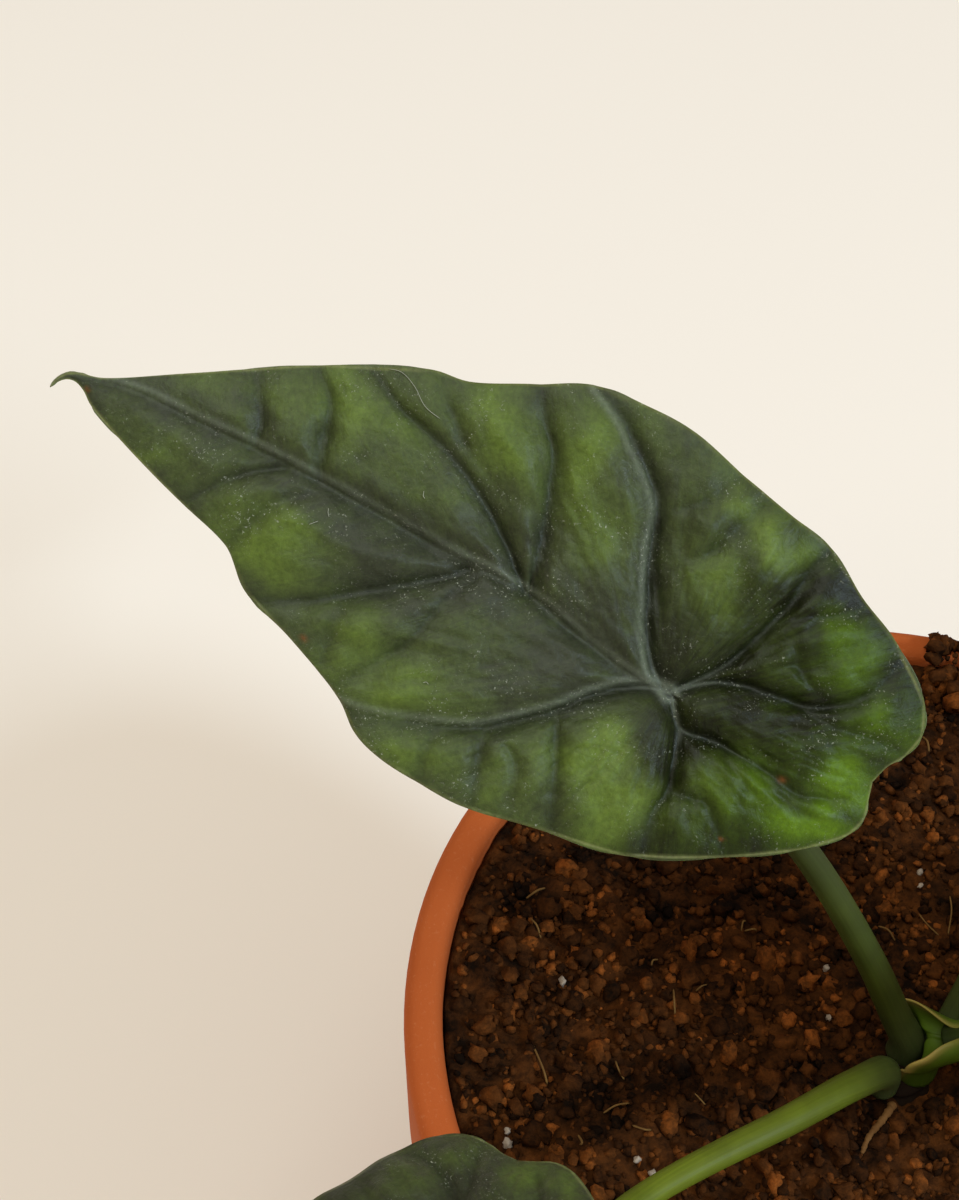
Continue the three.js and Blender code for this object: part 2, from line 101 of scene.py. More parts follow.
# Where the photograph shows grains of perlite, and the start and end of each dry fibre it shows
PERLITE_SEEN = np.array([(-41.1, -23.3), (-10.2, 7.9), (7, 25)])
FIBRES_SEEN = [((-55.6, -5), (-53.6, -11.5)), ((-43.4, -7.5), (-42.2, -10.5)), ((11.2, 21), (9.8, 14))]

# Blade: one outline and one set of veins serve every leaf. x runs from the stalk to the tip, y
# across, in the flattened blade and from the stalk's joint.
UPPER_MARGIN = [
    (82.5, 2.3), (82.3, 1), (81.6, -0.1), (80.4, -0.8), (77.6, -1.6), (67.9, -7.3),
    (55.2, -15), (42.8, -20.8), (38.5, -21.5), (31.2, -25), (24.8, -28.1), (18.5, -28.7),
    (12.3, -28.6), (4.9, -26.9), (-2.6, -25.3), (-8.6, -24.2), (-14.7, -20.7), (-20.7, -18),
    (-27.2, -13.2), (-28.9, -9.6), (-28.4, -6.6), (-27, -4.4), (-26.3, -2),
]
LOWER_MARGIN = [
    (82.5, 2.3), (81.9, 1.2), (81.2, 0.5), (80.2, 0.3), (78.8, 0.8), (77.2, 1.9),
    (71.3, 4.2), (62.7, 7), (54.9, 9.3), (50.4, 13), (43.4, 15.2), (34.7, 18.9),
    (31, 21.6), (27.2, 22.8), (21, 23.3), (15.5, 23.3), (8, 21.8), (-4.2, 19.5),
    (-14.8, 14.2), (-22.6, 9), (-26.7, 4.9), (-27.5, 2.4), (-26.9, 0.2), (-26.3, -2),
]
AXIS = [
    (82.5, 2.3), (82, 1), (80.7, -0.2), (77.3, -0.6), (57.9, -2.6), (20.1, -2.4),
    (5.2, 0.4), (0, 0), (-14, 1.3), (-26.3, -2),
]
# How far along the axis, the upper margin and the lower margin each guide row stands, and the share
# of the rows before it
GUIDE_ROWS = np.array([
    (0, 0, 0, 0), (0.23, 0.18, 0.16, 0.16), (0.31, 0.24, 0.23, 0.23), (0.5, 0.28, 0.28, 0.32),
    (0.56, 0.3, 0.36, 0.36), (0.58, 0.43, 0.39, 0.44), (0.745, 0.49, 0.43, 0.53),
    (0.755, 0.73, 0.64, 0.69), (0.765, 0.85, 0.77, 0.81), (0.89, 0.94, 0.89, 0.92), (1, 1, 1, 1),
])
# Each vein: its run, how deep it cuts at its start and end, and how far its valley reaches to its
# right and to its left
VEINS = [
    ([(0, 0), (5.2, 0.4), (12.8, -0.9), (20.1, -2.4), (32.6, -2.4), (46.4, -2.7), (57.9, -2.6),
      (64.5, -2.2), (73.1, -1.9), (81, -0.3)], (1, 0.9), (2.8, 3.2)),
    ([(0, 0), (3, -1.5), (5.3, -4.3), (7.5, -8.6), (10, -14), (11.7, -18.9), (14.2, -21.5),
      (17.7, -24.1), (20.9, -26.4), (24.5, -28.2)], (1, 0.7), (4.5, 2.4)),
    ([(-0.1, -0.3), (-1.7, -2.3), (-4.2, -6.1), (-6.1, -11.2), (-7.6, -16.1), (-7.8, -20.7),
      (-8.9, -25)], (1, 0.5), (2.6, 2.6)),
    ([(-0.1, -0.3), (-3.9, -3.6), (-7.3, -4.9), (-11.7, -5.7), (-15.4, -6.4), (-17.6, -7.6),
      (-20.3, -10.2), (-21.7, -12.9), (-22.2, -15.5)], (1, 0.45), (2.4, 2.4)),
    ([(-0.6, 0.6), (-3.1, 3.1), (-7.3, 2.6), (-10.7, 2.7), (-14.3, 2.8), (-19.4, 3.4),
      (-24, 1.5)], (1, 0.4), (2.2, 2.2)),
    ([(-0.6, 0.6), (-2.9, 3.3), (-4.3, 7.3), (-5.2, 10.3), (-4.7, 13.1), (-5.6, 16.2),
      (-6, 18.4)], (1, 0.5), (2.2, 2.2)),
    ([(0, 0), (1.9, 0.3), (5.1, 1.9), (8.3, 4.8), (10.8, 7.7), (14.4, 11.1), (17.9, 14.1),
      (22.5, 16.2), (27, 17.9), (31.7, 19.3), (34.2, 19.6)], (1, 0.5), (2.6, 3.6)),
    ([(28.2, -1.9), (29.4, -0.3), (32.7, 2.3), (36.5, 5.4), (40.4, 8.3), (44.4, 11), (48.1, 12.8),
      (50.8, 13.4)], (0.9, 0.7), (3, 3)),
    ([(21, -2.6), (25.1, -6.2), (30.6, -10), (35.4, -12.4), (39.6, -13.9), (44.3, -15),
      (48.9, -17.3)], (0.95, 0.6), (3, 3)),
    ([(20.1, -2.5), (20.7, -4.3), (21.9, -8.9), (23.7, -14), (25.8, -19), (27.9, -21.2),
      (30.8, -25.1)], (0.95, 0.5), (2.4, 2.4)),
    ([(48.8, -2.6), (50.2, -6.4), (51.1, -10), (52.5, -12.6), (54.8, -14.3)], (0.7, 0.5), (2.2, 2.2)),
    ([(57.6, -2.6), (57.9, -5.6), (59.5, -8.1), (61.4, -10.6)], (0.6, 0.4), (2.2, 2.2)),
    ([(53, -2.4), (57.3, 0.9), (60.6, 5), (62.6, 7.5)], (0.6, 0.4), (2.2, 2.2)),
    ([(26.9, -1.8), (28.4, 1.5), (29.2, 3.9), (30.1, 8.5), (32.1, 12.3), (36.3, 18.3)],
     (0.5, 0.3), (2.4, 2.4)),
    ([(46.4, -2.7), (51.6, 1.5), (53.8, 6.1), (55, 9.5)], (0.35, 0.3), (1.8, 1.8)),
    ([(17.7, 14.2), (17, 16.3), (15.8, 19.8), (14.8, 22.6)], (0.6, 0.4), (1.8, 1.8)),
    ([(11, 8.3), (9.3, 11.5), (7.3, 15.8), (5.1, 20.8)], (0.6, 0.4), (1.8, 1.8)),
    ([(22.7, 17), (22.7, 19.5), (21.7, 23)], (0.4, 0.3), (1.4, 1.4)),
    ([(14.6, 14.4), (12.4, 15.9), (10.9, 20.5)], (0.3, 0.2), (1.2, 1.2)),
    ([(39.4, 8.8), (39.3, 11.5), (38.4, 15.8)], (0.4, 0.3), (1.6, 1.6)),
    ([(11.4, -18.4), (6.7, -22.2), (5.8, -25.1), (3.9, -27.6)], (0.4, 0.3), (1.6, 1.6)),
    ([(5.5, -15.1), (3.6, -17.5), (2.6, -20.2), (1, -24.3)], (0.25, 0.3), (1.5, 1.5)),
    ([(-13.1, -5.9), (-16.8, -5.5), (-23, -6.4), (-28.2, -6.9)], (0.45, 0.3), (1.7, 1.7)),
    ([(-5.2, 10.3), (-8, 9.7), (-9.9, 9.6), (-12, 11.4), (-14.4, 13.5)], (0.5, 0.3), (1.8, 1.8)),
    ([(35.4, -14.5), (38.7, -17.4), (41.3, -20.8)], (0.4, 0.3), (1.6, 1.6)),
    ([(-7.2, -13.7), (-11, -16.2), (-15, -18.2)], (0.3, 0.2), (1.4, 1.4)),
    ([(-16.3, -7.8), (-12.4, -9.4), (-10.5, -11.5)], (0.3, 0.15), (1.3, 1.3)),
]
# The blade swells between its veins. The valleys and the tighter folds at the veins have these widths,
# as shares of a vein's reach. The swelling is less at the margin, over a band of this width.
VALLEY_SPREAD = 0.72
FOLD_SPREAD = 0.28
MIDRIB_FOLD = 0.45
QUILT_HEIGHT = 3.6
PANEL_SHARE = 0.38
CREST_SHARE = 0.4
EDGE_QUILT = 0.4
EDGE_BAND = 8
VEIN_RISE = 0.14
# Ripples that fan out from the stalk, and wrinkles
RIPPLE = 0.5
WRINKLE = 0.3
WRINKLE_SIZE = 5
# A pale painted highlight on a vein's steep wall, the side of its shorter reach, and painted shade in the
# dark crease at a vein, wider on its other side, which lies in the fold's shade
WALL_HIGHLIGHT = 1.2
HIGHLIGHT_PLACE = 0.85
HIGHLIGHT_WIDTH = 0.45
MIDRIB_HIGHLIGHT = 0.6
CREASE_WIDTH = 0.6
SHADED_WIDTH = 1.2
THREAD_WIDTH = 0.25
# The margin droops in a soft round, and the blade cups across
MARGIN_DROP = 0.8
MARGIN_ROUND = 1.2
CUP = 0.0035
# Places where the blade shows its fresh green, partly its own colour and partly painted light where the
# panels face the light: middle, reach along and across, strength. A cloud sways their edges.
FRESH_AND_LIT_PATCHES = [
    ((56.9, -9.5), (5, 3.5), 0.45), ((49.2, -11.7), (4, 3.5), 0.9), ((43.4, -12.5), (4, 3), 0.6),
    ((50.7, 6.8), (6, 3.5), 0.8), ((35.1, -19.4), (4, 4), 0.6), ((30.8, -18.5), (4.5, 4.5), 0.6),
    ((22.9, -21.5), (4, 5.5), 0.75), ((18.9, -14.6), (4, 5), 0.5), ((-3.1, -21.8), (4.5, 3), 0.9),
    ((29.1, 14.1), (6.5, 4.5), 0.8), ((37, 11), (4, 3), 0.6), ((4.6, 11.6), (3.5, 4), 1),
    ((0.6, 15.3), (4.5, 4), 1.2), ((-9.5, 8), (4, 3), 0.7), ((-23.4, 0.4), (4.5, 2.6), 1.35),
    ((-21.5, 5.8), (4, 3), 1.3), ((-16, -12), (4, 3.5), 0.65), ((-24, -9), (4, 4), 0.75),
    ((14, 18), (4, 3.5), 0.5), ((25, 20), (5, 2.5), 0.5), ((70, 0), (8, 4), 0.25),
    ((38.4, -8), (5, 2.5), 0.25), ((64, -5), (5, 3), 0.4), ((68, 3.5), (6, 2.5), 0.5),
    ((0, -12.6), (3, 3), 0.5), ((-15.6, 6.1), (4, 3), 0.7),
]
PATCH_SWAY = 5
PATCH_SWAY_SIZE = 7

# Small brown scars of the skin: middle and radius. Hairs of lint on the first leaf: their course.
SCARS = [((-16.4, 2.8), 0.4), ((78.4, 0.45), 0.3), ((-13.4, 12.4), 0.25), ((41.5, 14.6), 0.35)]
LINT = [
    ((47.7, -18.2), (45.9, -18.8), (43.7, -17.9), (41.6, -16.6), (39.3, -16.1)),
    ((46.1, -0.5), (45.9, -0.1), (45.7, 0.3)), ((37.1, -7.4), (36.9, -7.1), (36.7, -6.7)),
    ((46.3, 1.6), (46.8, 2), (47.2, 2.2)), ((26.8, 12.5), (26.3, 12.2), (25.9, 12.4)),
]
LINT_RADIUS = 0.035
LINT_CLEAR = 0.2

# Leaves: where the stalk meets the blade, which way the tip points, how the blade is turned, its
# size along and across, its side, how strong its fresh green (partly painted light) is, how deep the
# painted shade of its lobes is, how it droops to both ends, its mesh's rows and columns, and the stalk's
# foot, radii and way. The sheath hides the lowest part of the third stalk, which starts at that share of
# its length.
LEAVES = [
    dict(joint=(-40.9, 0.5, 208.8), azimuth=158.4, rise=18.1, roll=-38.1, scale=(1, 1), mirror=1,
         fresh_and_lit_strength=1, deep=1, droop=0, rows=300, columns=76, foot=(-0.8, -6.8), radii=(2.4, 1.6),
         way=[(-3, -5.6, 141), (-9, -4, 155), (-20.7, -0.8, 177)]),
    dict(joint=(-65.2, -56.6, 164.6), azimuth=249, rise=8, roll=13, scale=(0.86, 1.01), mirror=1,
         fresh_and_lit_strength=0.4, deep=0.15, droop=0.004, rows=170, columns=42, foot=(-5, -12), radii=(2.3, 1.5),
         way=[(-11.8, -17.5, 143), (-20.8, -23.8, 146.5), (-42.7, -36.6, 149.5)]),
    dict(joint=(49.4, -30, 184), azimuth=-16, rise=-6, roll=6, scale=(0.86, 0.88), mirror=-1,
         fresh_and_lit_strength=0.8, deep=0.6, droop=0.004, rows=170, columns=42, foot=(0.6, -9.4), radii=(2.8, 1.6),
         sheathed=0.12, way=[(5.8, -9.6, 141.6), (30, -17.5, 162)]),
    dict(joint=(28.5, 57, 203), azimuth=72, rise=8, roll=-6, scale=(0.88, 0.8), mirror=-1,
         fresh_and_lit_strength=1.1, deep=0.6, droop=0.003, rows=170, columns=42, foot=(3.8, -6.9), radii=(1.9, 1.3),
         way=[(5.9, -4.2, 141), (16, 12, 170)]),
]
BLADE_THICKNESS = 0.9
MARGIN_THICKNESS_SHARE = 0.35

# Stalks: the height of their feet, how deep these sink in the crown, how far off its blade a stalk
# starts to bend, the steps in which it then nears the blade, how far under the upper face it ends,
# and the side on which its groove runs, in radians
STALK_FOOT = SOIL_LEVEL + 3.8
STALK_SUNK = 2.6
STALK_NECK = 4
STALK_STEP = 1.2
STALK_END = 0.35
GROOVE_SIDE = 4.2

# The third leaf's stalk stands in an open sheath: the part of its length, how much wider it is, the
# way it opens, how far it leans off the stalk, and the thickness of its dry rim
SHEATH_LENGTH = 0.17
SHEATH_FLARE = 1.0
SHEATH_OPENING = (-0.75, 0, 0.66)
SHEATH_LIFT = (-0.5, 2.4, 2.8)
SHEATH_RIM = 0.35

# The stub of the stem under the stalks, and the dry root beside it
STUB_RADIUS = 4.4
STUB_LENGTH = 24
ROOT_WAY = [(-3.4, -14.8, 132.2), (-4.4, -16.3, 132.8), (-5.8, -17.9, 132.5), (-7.6, -19.8, 132.2),
            (-8.9, -22.2, 131.7)]
ROOT_RADIUS = 0.62


def linear(code):
    """An sRGB hex colour as Blender's linear one"""
    parts = [int(code[i:i + 2], 16) / 255 for i in (1, 3, 5)]
    return (*[c / 12.92 if c <= 0.04045 else ((c + 0.055) / 1.055) ** 2.4 for c in parts], 1)


def smoothstep(x, low, high):
    t = np.clip((x - low) / (high - low), 0, 1)
    return t * t * (3 - 2 * t)


# Lines

def smooth_line(points, per_span):
    """A line that runs smoothly through the points, evenly loose at close and far ones"""
    points = np.array(points, float)
    before, after = 2 * points[0] - points[1], 2 * points[-1] - points[-2]
    ends = np.vstack([before, points, after])
    part = np.linspace(0, 1, per_span, endpoint=False)[:, None]
    spans = []
    for a, b, c, d in zip(ends, ends[1:], ends[2:], ends[3:]):
        ab, bc, cd = (math.sqrt(np.linalg.norm(q - p)) for p, q in ((a, b), (b, c), (c, d)))
        leave = ((b - a) / ab - (c - a) / (ab + bc) + (c - b) / bc) * bc
        arrive = ((c - b) / bc - (d - b) / (bc + cd) + (d - c) / cd) * bc
        bend = 3 * (c - b) - 2 * leave - arrive
        twist = 2 * (b - c) + leave + arrive
        spans.append(b + part * (leave + part * (bend + part * twist)))
    return np.vstack([*spans, points[-1:]])


def part_way(line, parts):
    """The places at these parts of the line's length"""
    steps = np.linalg.norm(np.diff(line, axis=0), axis=1)
    reach = np.r_[0, np.cumsum(steps)] / steps.sum()
    return np.stack([np.interp(parts, reach, column) for column in line.T], -1)


def unit(directions):
    return directions / np.linalg.norm(directions, axis=-1, keepdims=True)


def heading(line, parts):
    """The line's direction at these parts of its length"""
    close = 0.002
    return unit(part_way(line, np.minimum(parts + close, 1)) - part_way(line, np.maximum(parts - close, 0)))


def near_line(line, places):
    """For each place: its distance from the line, whether it lies left of it, and how far along"""
    best = np.full(len(places), np.inf)
    left = np.zeros(len(places), bool)
    along = np.zeros(len(places))
    for i, (start, step) in enumerate(zip(line, np.diff(line, axis=0))):
        away = places - start
        t = np.clip(away @ step / (step @ step), 0, 1)
        gap = np.hypot(*(away - t[:, None] * step).T)
        near = gap < best
        best[near] = gap[near]
        left[near] = (step[0] * away[near, 1] - step[1] * away[near, 0]) > 0
        along[near] = (i + t[near]) / (len(line) - 1)
    return best, left, along


# Meshes

def start_piece(name):
    """Takes the primitive that was just added as a new piece"""
    piece = bpy.context.object
    piece.name = name
    piece.data.name = name
    return piece


def grid_piece(name, across, along):
    """A unit grid to be shaped, and each corner's part of the way across and along"""
    bpy.ops.object.select_all(action="DESELECT")
    bpy.ops.mesh.primitive_grid_add(x_subdivisions=across, y_subdivisions=along, size=1)
    piece = start_piece(name)
    return piece, *(corners(piece) * MM + 0.5)[:, :2].T


def corners(piece):
    """The mesh's corners, in millimetres"""
    flat = np.empty(len(piece.data.vertices) * 3)
    piece.data.vertices.foreach_get("co", flat)
    return flat.reshape(-1, 3) / MM


def place_corners(piece, places):
    piece.data.vertices.foreach_set("co", (np.asarray(places) * MM).ravel())
    piece.data.update()


def mark(piece, name, values):
    """Keeps a number for each corner, which a material reads by its name"""
    numbers = piece.data.attributes.new(name, "FLOAT", "POINT").data
    numbers.foreach_set("value", np.ascontiguousarray(values, np.float32))


def edit(piece, *steps):
    """Works on all of one piece in edit mode, and leaves it selected"""
    bpy.ops.object.select_all(action="DESELECT")
    piece.select_set(True)
    bpy.context.view_layer.objects.active = piece
    bpy.ops.object.mode_set(mode="EDIT")
    bpy.ops.mesh.select_all(action="SELECT")
    for step in steps:
        step()
    bpy.ops.object.mode_set(mode="OBJECT")


def merge():
    bpy.ops.mesh.remove_doubles(threshold=0.001 * MM)


def face_out():
    bpy.ops.mesh.normals_make_consistent(inside=False)


def apply_modifier(piece, kind, **settings):
    modifier = piece.modifiers.new(kind.title(), kind)
    for name, value in settings.items():
        setattr(modifier, name, value)
    bpy.context.view_layer.objects.active = piece
    bpy.ops.object.modifier_apply(modifier=modifier.name)


def finish_piece(piece, material, slot, *nodes):
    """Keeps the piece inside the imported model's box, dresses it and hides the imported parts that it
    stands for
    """
    place_corners(piece, np.clip(corners(piece), np.array(cad_low) / MM, np.array(cad_high) / MM))
    piece.data.materials.clear()
    piece.data.materials.append(material)
    piece.data.shade_smooth()
    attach(piece, "root")
    if nodes:
        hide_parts(*nodes)


# Materials

def new_finish(name):
    """An empty material, its tree, and the places on the piece that its patterns follow"""
    material = bpy.data.materials.new(name)
    material.use_nodes = True
    tree = material.node_tree
    tree.nodes.clear()
    return material, tree, add(tree, "TexCoord", out="Object")


def add(tree, kind, inputs=None, out=0, **settings):
    """Adds a node. Each input is a value or the socket that feeds it. Gives back one output."""
    node = tree.nodes.new("ShaderNode" + kind)
    for name, value in settings.items():
        setattr(node, name, value)
    for name, value in (inputs or {}).items():
        if isinstance(value, bpy.types.NodeSocket):
            tree.links.new(value, node.inputs[name])
        else:
            node.inputs[name].default_value = value
    return node.outputs[out]


def attribute(tree, name):
    """The number that each corner keeps under this name"""
    return add(tree, "Attribute", out="Fac", attribute_name=name)


def per_mm(size):
    """The texture scale at which one cell of a pattern is this wide"""
    return 1 / (size * MM)


def mottle(tree, place, size, detail, roughness=0.5, distortion=0):
    """Noise with cells of this width in millimetres"""
    return add(tree, "TexNoise", {"Vector": place, "Scale": per_mm(size), "Detail": detail,
                                  "Roughness": roughness, "Distortion": distortion})


def streaks(tree, place, scale, detail, roughness=0.5):
    """Noise drawn out into streaks by an uneven scale"""
    drawn = add(tree, "Mapping", {"Vector": place, "Scale": scale})
    return add(tree, "TexNoise", {"Vector": drawn, "Scale": 1, "Detail": detail, "Roughness": roughness})


def spread(tree, value, start, end, low=0, high=1, curve="LINEAR"):
    """Turns the range from start to end into the one from low to high, and holds its ends"""
    return add(tree, "MapRange", {"Value": value, "From Min": start, "From Max": end,
                                  "To Min": low, "To Max": high}, interpolation_type=curve)


def reckon(tree, operation, *values, clamp=False):
    return add(tree, "Math", dict(enumerate(values)), operation=operation, use_clamp=clamp)


def blend(tree, amount, under, over, kind="MIX"):
    """Lays one colour over another. Each is a hex code or the socket that gives it."""
    under, over = (linear(colour) if isinstance(colour, str) else colour for colour in (under, over))
    return add(tree, "MixRGB", {"Fac": amount, "Color1": under, "Color2": over}, blend_type=kind)


def relief(tree, height, strength, depth, under=None):
    """Raises the skin by a pattern, up to this many millimetres, over another relief if given"""
    base = {"Normal": under} if under is not None else {}
    return add(tree, "Bump", {"Height": height, "Strength": strength, "Distance": depth * MM, **base})


def dress(tree, inputs):
    """Ends a material in its shader"""
    shader = add(tree, "BsdfPrincipled", inputs)
    surface = tree.nodes.new("ShaderNodeOutputMaterial")
    tree.links.new(shader, surface.inputs["Surface"])


def terracotta():
    """Terracotta, thrown and fired unglazed: an even matte orange brown, softly clouded, with a
    sandy grain and faint rings from the turning."""
    material, tree, place = new_finish("terracotta_fired_matte")
    cloud = mottle(tree, place, 32, 4)
    grain = mottle(tree, place, 0.7, 3, 0.7)
    rings = streaks(tree, place, (per_mm(250), per_mm(250), per_mm(2.2)), 2)
    clay = blend(tree, cloud, "#a34a1c", "#c5662e")
    sand = spread(tree, grain, 0.58, 0.75, 0, 0.35)
    speckled = blend(tree, sand, clay, "#c98257")
    tooth = reckon(tree, "ADD", grain, rings)
    bump = relief(tree, tooth, 0.35, 0.25)
    dress(tree, {"Base Color": speckled, "Roughness": 0.86, "Normal": bump, "Specular IOR Level": 0.2})
    return material


def potting_mix():
    """Peat and fine bark, moist and dull: each crumb between almost black and a warm brown by its
    own tint, in darker and lighter patches, with a rough grain."""
    material, tree, place = new_finish("potting_mix_moist")
    tint = attribute(tree, "tint")
    fleck = mottle(tree, place, 1.3, 5, 0.7)
    patch = mottle(tree, place, 9, 2)
    cover = spread(tree, patch, 0.35, 0.65, 0.6, 1.2)
    flecked = reckon(tree, "MULTIPLY", fleck, tint)
    amount = reckon(tree, "MULTIPLY", flecked, cover)
    peat = spread(tree, amount, 0.1, 0.38)
    bark = spread(tree, amount, 0.4, 0.75)
    dark = blend(tree, peat, "#120802", "#573011")
    brown = blend(tree, bark, dark, "#95521f")
    bump = relief(tree, fleck, 0.9, 0.6)
    dress(tree, {"Base Color": brown, "Roughness": 0.9, "Normal": bump, "Specular IOR Level": 0.08})
    return material


def perlite_grain():
    """Expanded perlite: dull white, stained a little by the soil."""
    material, tree, place = new_finish("perlite_expanded")
    stain = mottle(tree, place, 1.2, 4)
    white = blend(tree, stain, "#6f5d49", "#b9ab98")
    bump = relief(tree, stain, 0.6, 0.3)
    dress(tree, {"Base Color": white, "Roughness": 0.8, "Normal": bump})
    return material


def dry_fibre(name, dark, light):
    """Dead plant matter and lint: dull, in patches of a darker and a lighter tone, a little rough."""
    material, tree, place = new_finish(name)
    patch = mottle(tree, place, 3, 4)
    straw = blend(tree, patch, dark, light)
    bump = relief(tree, patch, 0.4, 0.2)
    dress(tree, {"Base Color": straw, "Roughness": 0.85, "Normal": bump, "Specular IOR Level": 0.1})
    return material


def stalk_skin(name, foot, middle, head):
    """The leaf stalk's smooth waxy skin: satin, ribbed very finely along its length, with one tone
    at its foot, one at its middle and one at its head, pale along its sheath's dry rim, and a little
    translucent."""
    material, tree, place = new_finish(name)
    along = attribute(tree, "along")
    rim = attribute(tree, "rim")
    ribs = streaks(tree, add(tree, "UVMap"), (34, 3, 1), 3)
    cloud = mottle(tree, place, 6, 4)
    low = spread(tree, along, 0, 0.22, curve="SMOOTHSTEP")
    high = spread(tree, along, 0.25, 0.9)
    lower = blend(tree, low, foot, middle)
    green = blend(tree, high, lower, head)
    shade = spread(tree, cloud, 0.3, 0.7, 0.82, 1.15)
    rib = spread(tree, ribs, 0.3, 0.7, 0.86, 1.1)
    tone = reckon(tree, "MULTIPLY", shade, rib)
    toned = blend(tree, 1, green, tone, "MULTIPLY")
    rimmed = blend(tree, rim, toned, "#a08a48")
    bump = relief(tree, ribs, 0.3, 0.15)
    dress(tree, {"Base Color": rimmed, "Roughness": 0.5, "Normal": bump, "Specular IOR Level": 0.18,
                 "Subsurface Weight": 0.1, "Subsurface Scale": 1.5 * MM,
                 "Subsurface Radius": (0.5, 1.0, 0.2)})
    return material


def blade_skin():
    """The thick leathery blade: dark grey green, greyed in the middle by a painted satin sheen, a deeper
    clear green in the lobes and at the heel, darker there by painted shade and without the painted
    sheen, fresh green where the panels swell, partly its own colour and partly painted light, creases
    darkened by painted shade, pale vein threads with painted highlights on steep vein walls and at the
    joint, a pale margin, specks of dust, small brown scars, a fine leathery tooth, and a lighter matte
    underside."""
    material, tree, place = new_finish("leaf_blade_waxy")
    names = ("fresh_and_lit", "valley", "crease_shade", "thread_and_highlight", "rim", "lobe_shade", "heel_without_sheen", "scar", "under")
    marks = {name: attribute(tree, name) for name in names}

    cloud = mottle(tree, place, 7, 5, 0.6)
    stripes = streaks(tree, add(tree, "UVMap"), (7, 170, 1), 3, 0.6)
    grain = mottle(tree, place, 0.55, 3, 0.6)
    hide = mottle(tree, place, 1.8, 5, 0.65, 0.5)

    drift = spread(tree, cloud, 0.3, 0.7, -0.16, 0.16)
    streak = spread(tree, stripes, 0.3, 0.7, -0.07, 0.07)
    uneven = reckon(tree, "ADD", drift, streak)
    # Fresh green: partly the skin's own colour, partly painted light where the panels face the light
    amount = reckon(tree, "ADD", marks["fresh_and_lit"], uneven, clamp=True)
    # Painted sheen greys the middle's colours; painted shade darkens the lobes, and the heel keeps a clear
    # green without the painted sheen
    dark = blend(tree, marks["lobe_shade"], "#353928", "#171a05")
    light = blend(tree, marks["heel_without_sheen"], "#586a28", "#506b0c")
    green = blend(tree, amount, dark, light)
    # Painted shade: the creases at the veins are darkened where their folds shade them
    hollow = reckon(tree, "MULTIPLY", marks["crease_shade"], 0.85)
    shaded_in_creases = blend(tree, hollow, green, "#0d1107")
    # Pale vein threads, with painted highlights on the steep vein walls and at the joint
    line = reckon(tree, "MULTIPLY", marks["thread_and_highlight"], 0.5)
    veins_and_highlights = blend(tree, line, shaded_in_creases, "#737b69")
    margin = reckon(tree, "MULTIPLY", marks["rim"], 0.6)
    edged = blend(tree, margin, veins_and_highlights, "#7f8250")

    settled = mottle(tree, place, 6, 3, 0.6)
    gathered = reckon(tree, "MULTIPLY_ADD", marks["thread_and_highlight"], 0.16, settled)
    where = spread(tree, gathered, 0.49, 0.66)
    grit = mottle(tree, place, 0.36, 3, 0.7)
    speck = spread(tree, grit, 0.605, 0.71)
    dust = reckon(tree, "MULTIPLY", speck, where)
    dusty = blend(tree, dust, edged, "#9da08e")

    scarred = blend(tree, marks["scar"], dusty, "#6b3f1c")
    tooth = reckon(tree, "ADD", grain, hide)
    tone = spread(tree, tooth, 0.75, 1.25, 0.8, 1.2)
    upper = blend(tree, 1, scarred, tone, "MULTIPLY")
    lower = blend(tree, marks["valley"], "#5d6b45", "#7b7f5c")
    colour = blend(tree, marks["under"], upper, lower)
    satin = spread(tree, cloud, 0.3, 0.7, 0.4, 0.52)
    gloss = reckon(tree, "ADD", satin, dust, clamp=True)
    fine = relief(tree, grain, 0.5, 0.1)
    lined = relief(tree, stripes, 0.25, 0.2, fine)
    bump = relief(tree, hide, 0.55, 0.36, lined)
    dress(tree, {"Base Color": colour, "Roughness": gloss, "Normal": bump, "Specular IOR Level": 0.19,
                 "Subsurface Weight": 0.06, "Subsurface Scale": 1.2 * MM,
                 "Subsurface Radius": (0.4, 1.0, 0.15)})
    return material


def studio_floor():
    """Matte pale paper board: cream, with hardly any gloss."""
    material, tree, place = new_finish("floor_paper_matte")
    tooth = mottle(tree, place, 1.5, 2)
    bump = relief(tree, tooth, 0.1, 0.05)
    dress(tree, {"Base Color": linear("#f0e9dd"), "Roughness": 0.9, "Normal": bump})
    return material


# The pot

def round_part(radius, height, start, steps):
    """A quarter of the lip's round"""
    angles = start + np.linspace(0, math.pi / 2, steps)
    return [(radius + LIP_ROUND * math.cos(a), height + LIP_ROUND * math.sin(a)) for a in angles]


def inner_radius(height):
    """How far the inside of the wall is from the middle"""
    flare = (RIM_RADIUS - RIM_STEP - BASE_RADIUS) / (POT_HEIGHT - RIM_BAND)
    return np.minimum(BASE_RADIUS + flare * height, RIM_RADIUS) - WALL


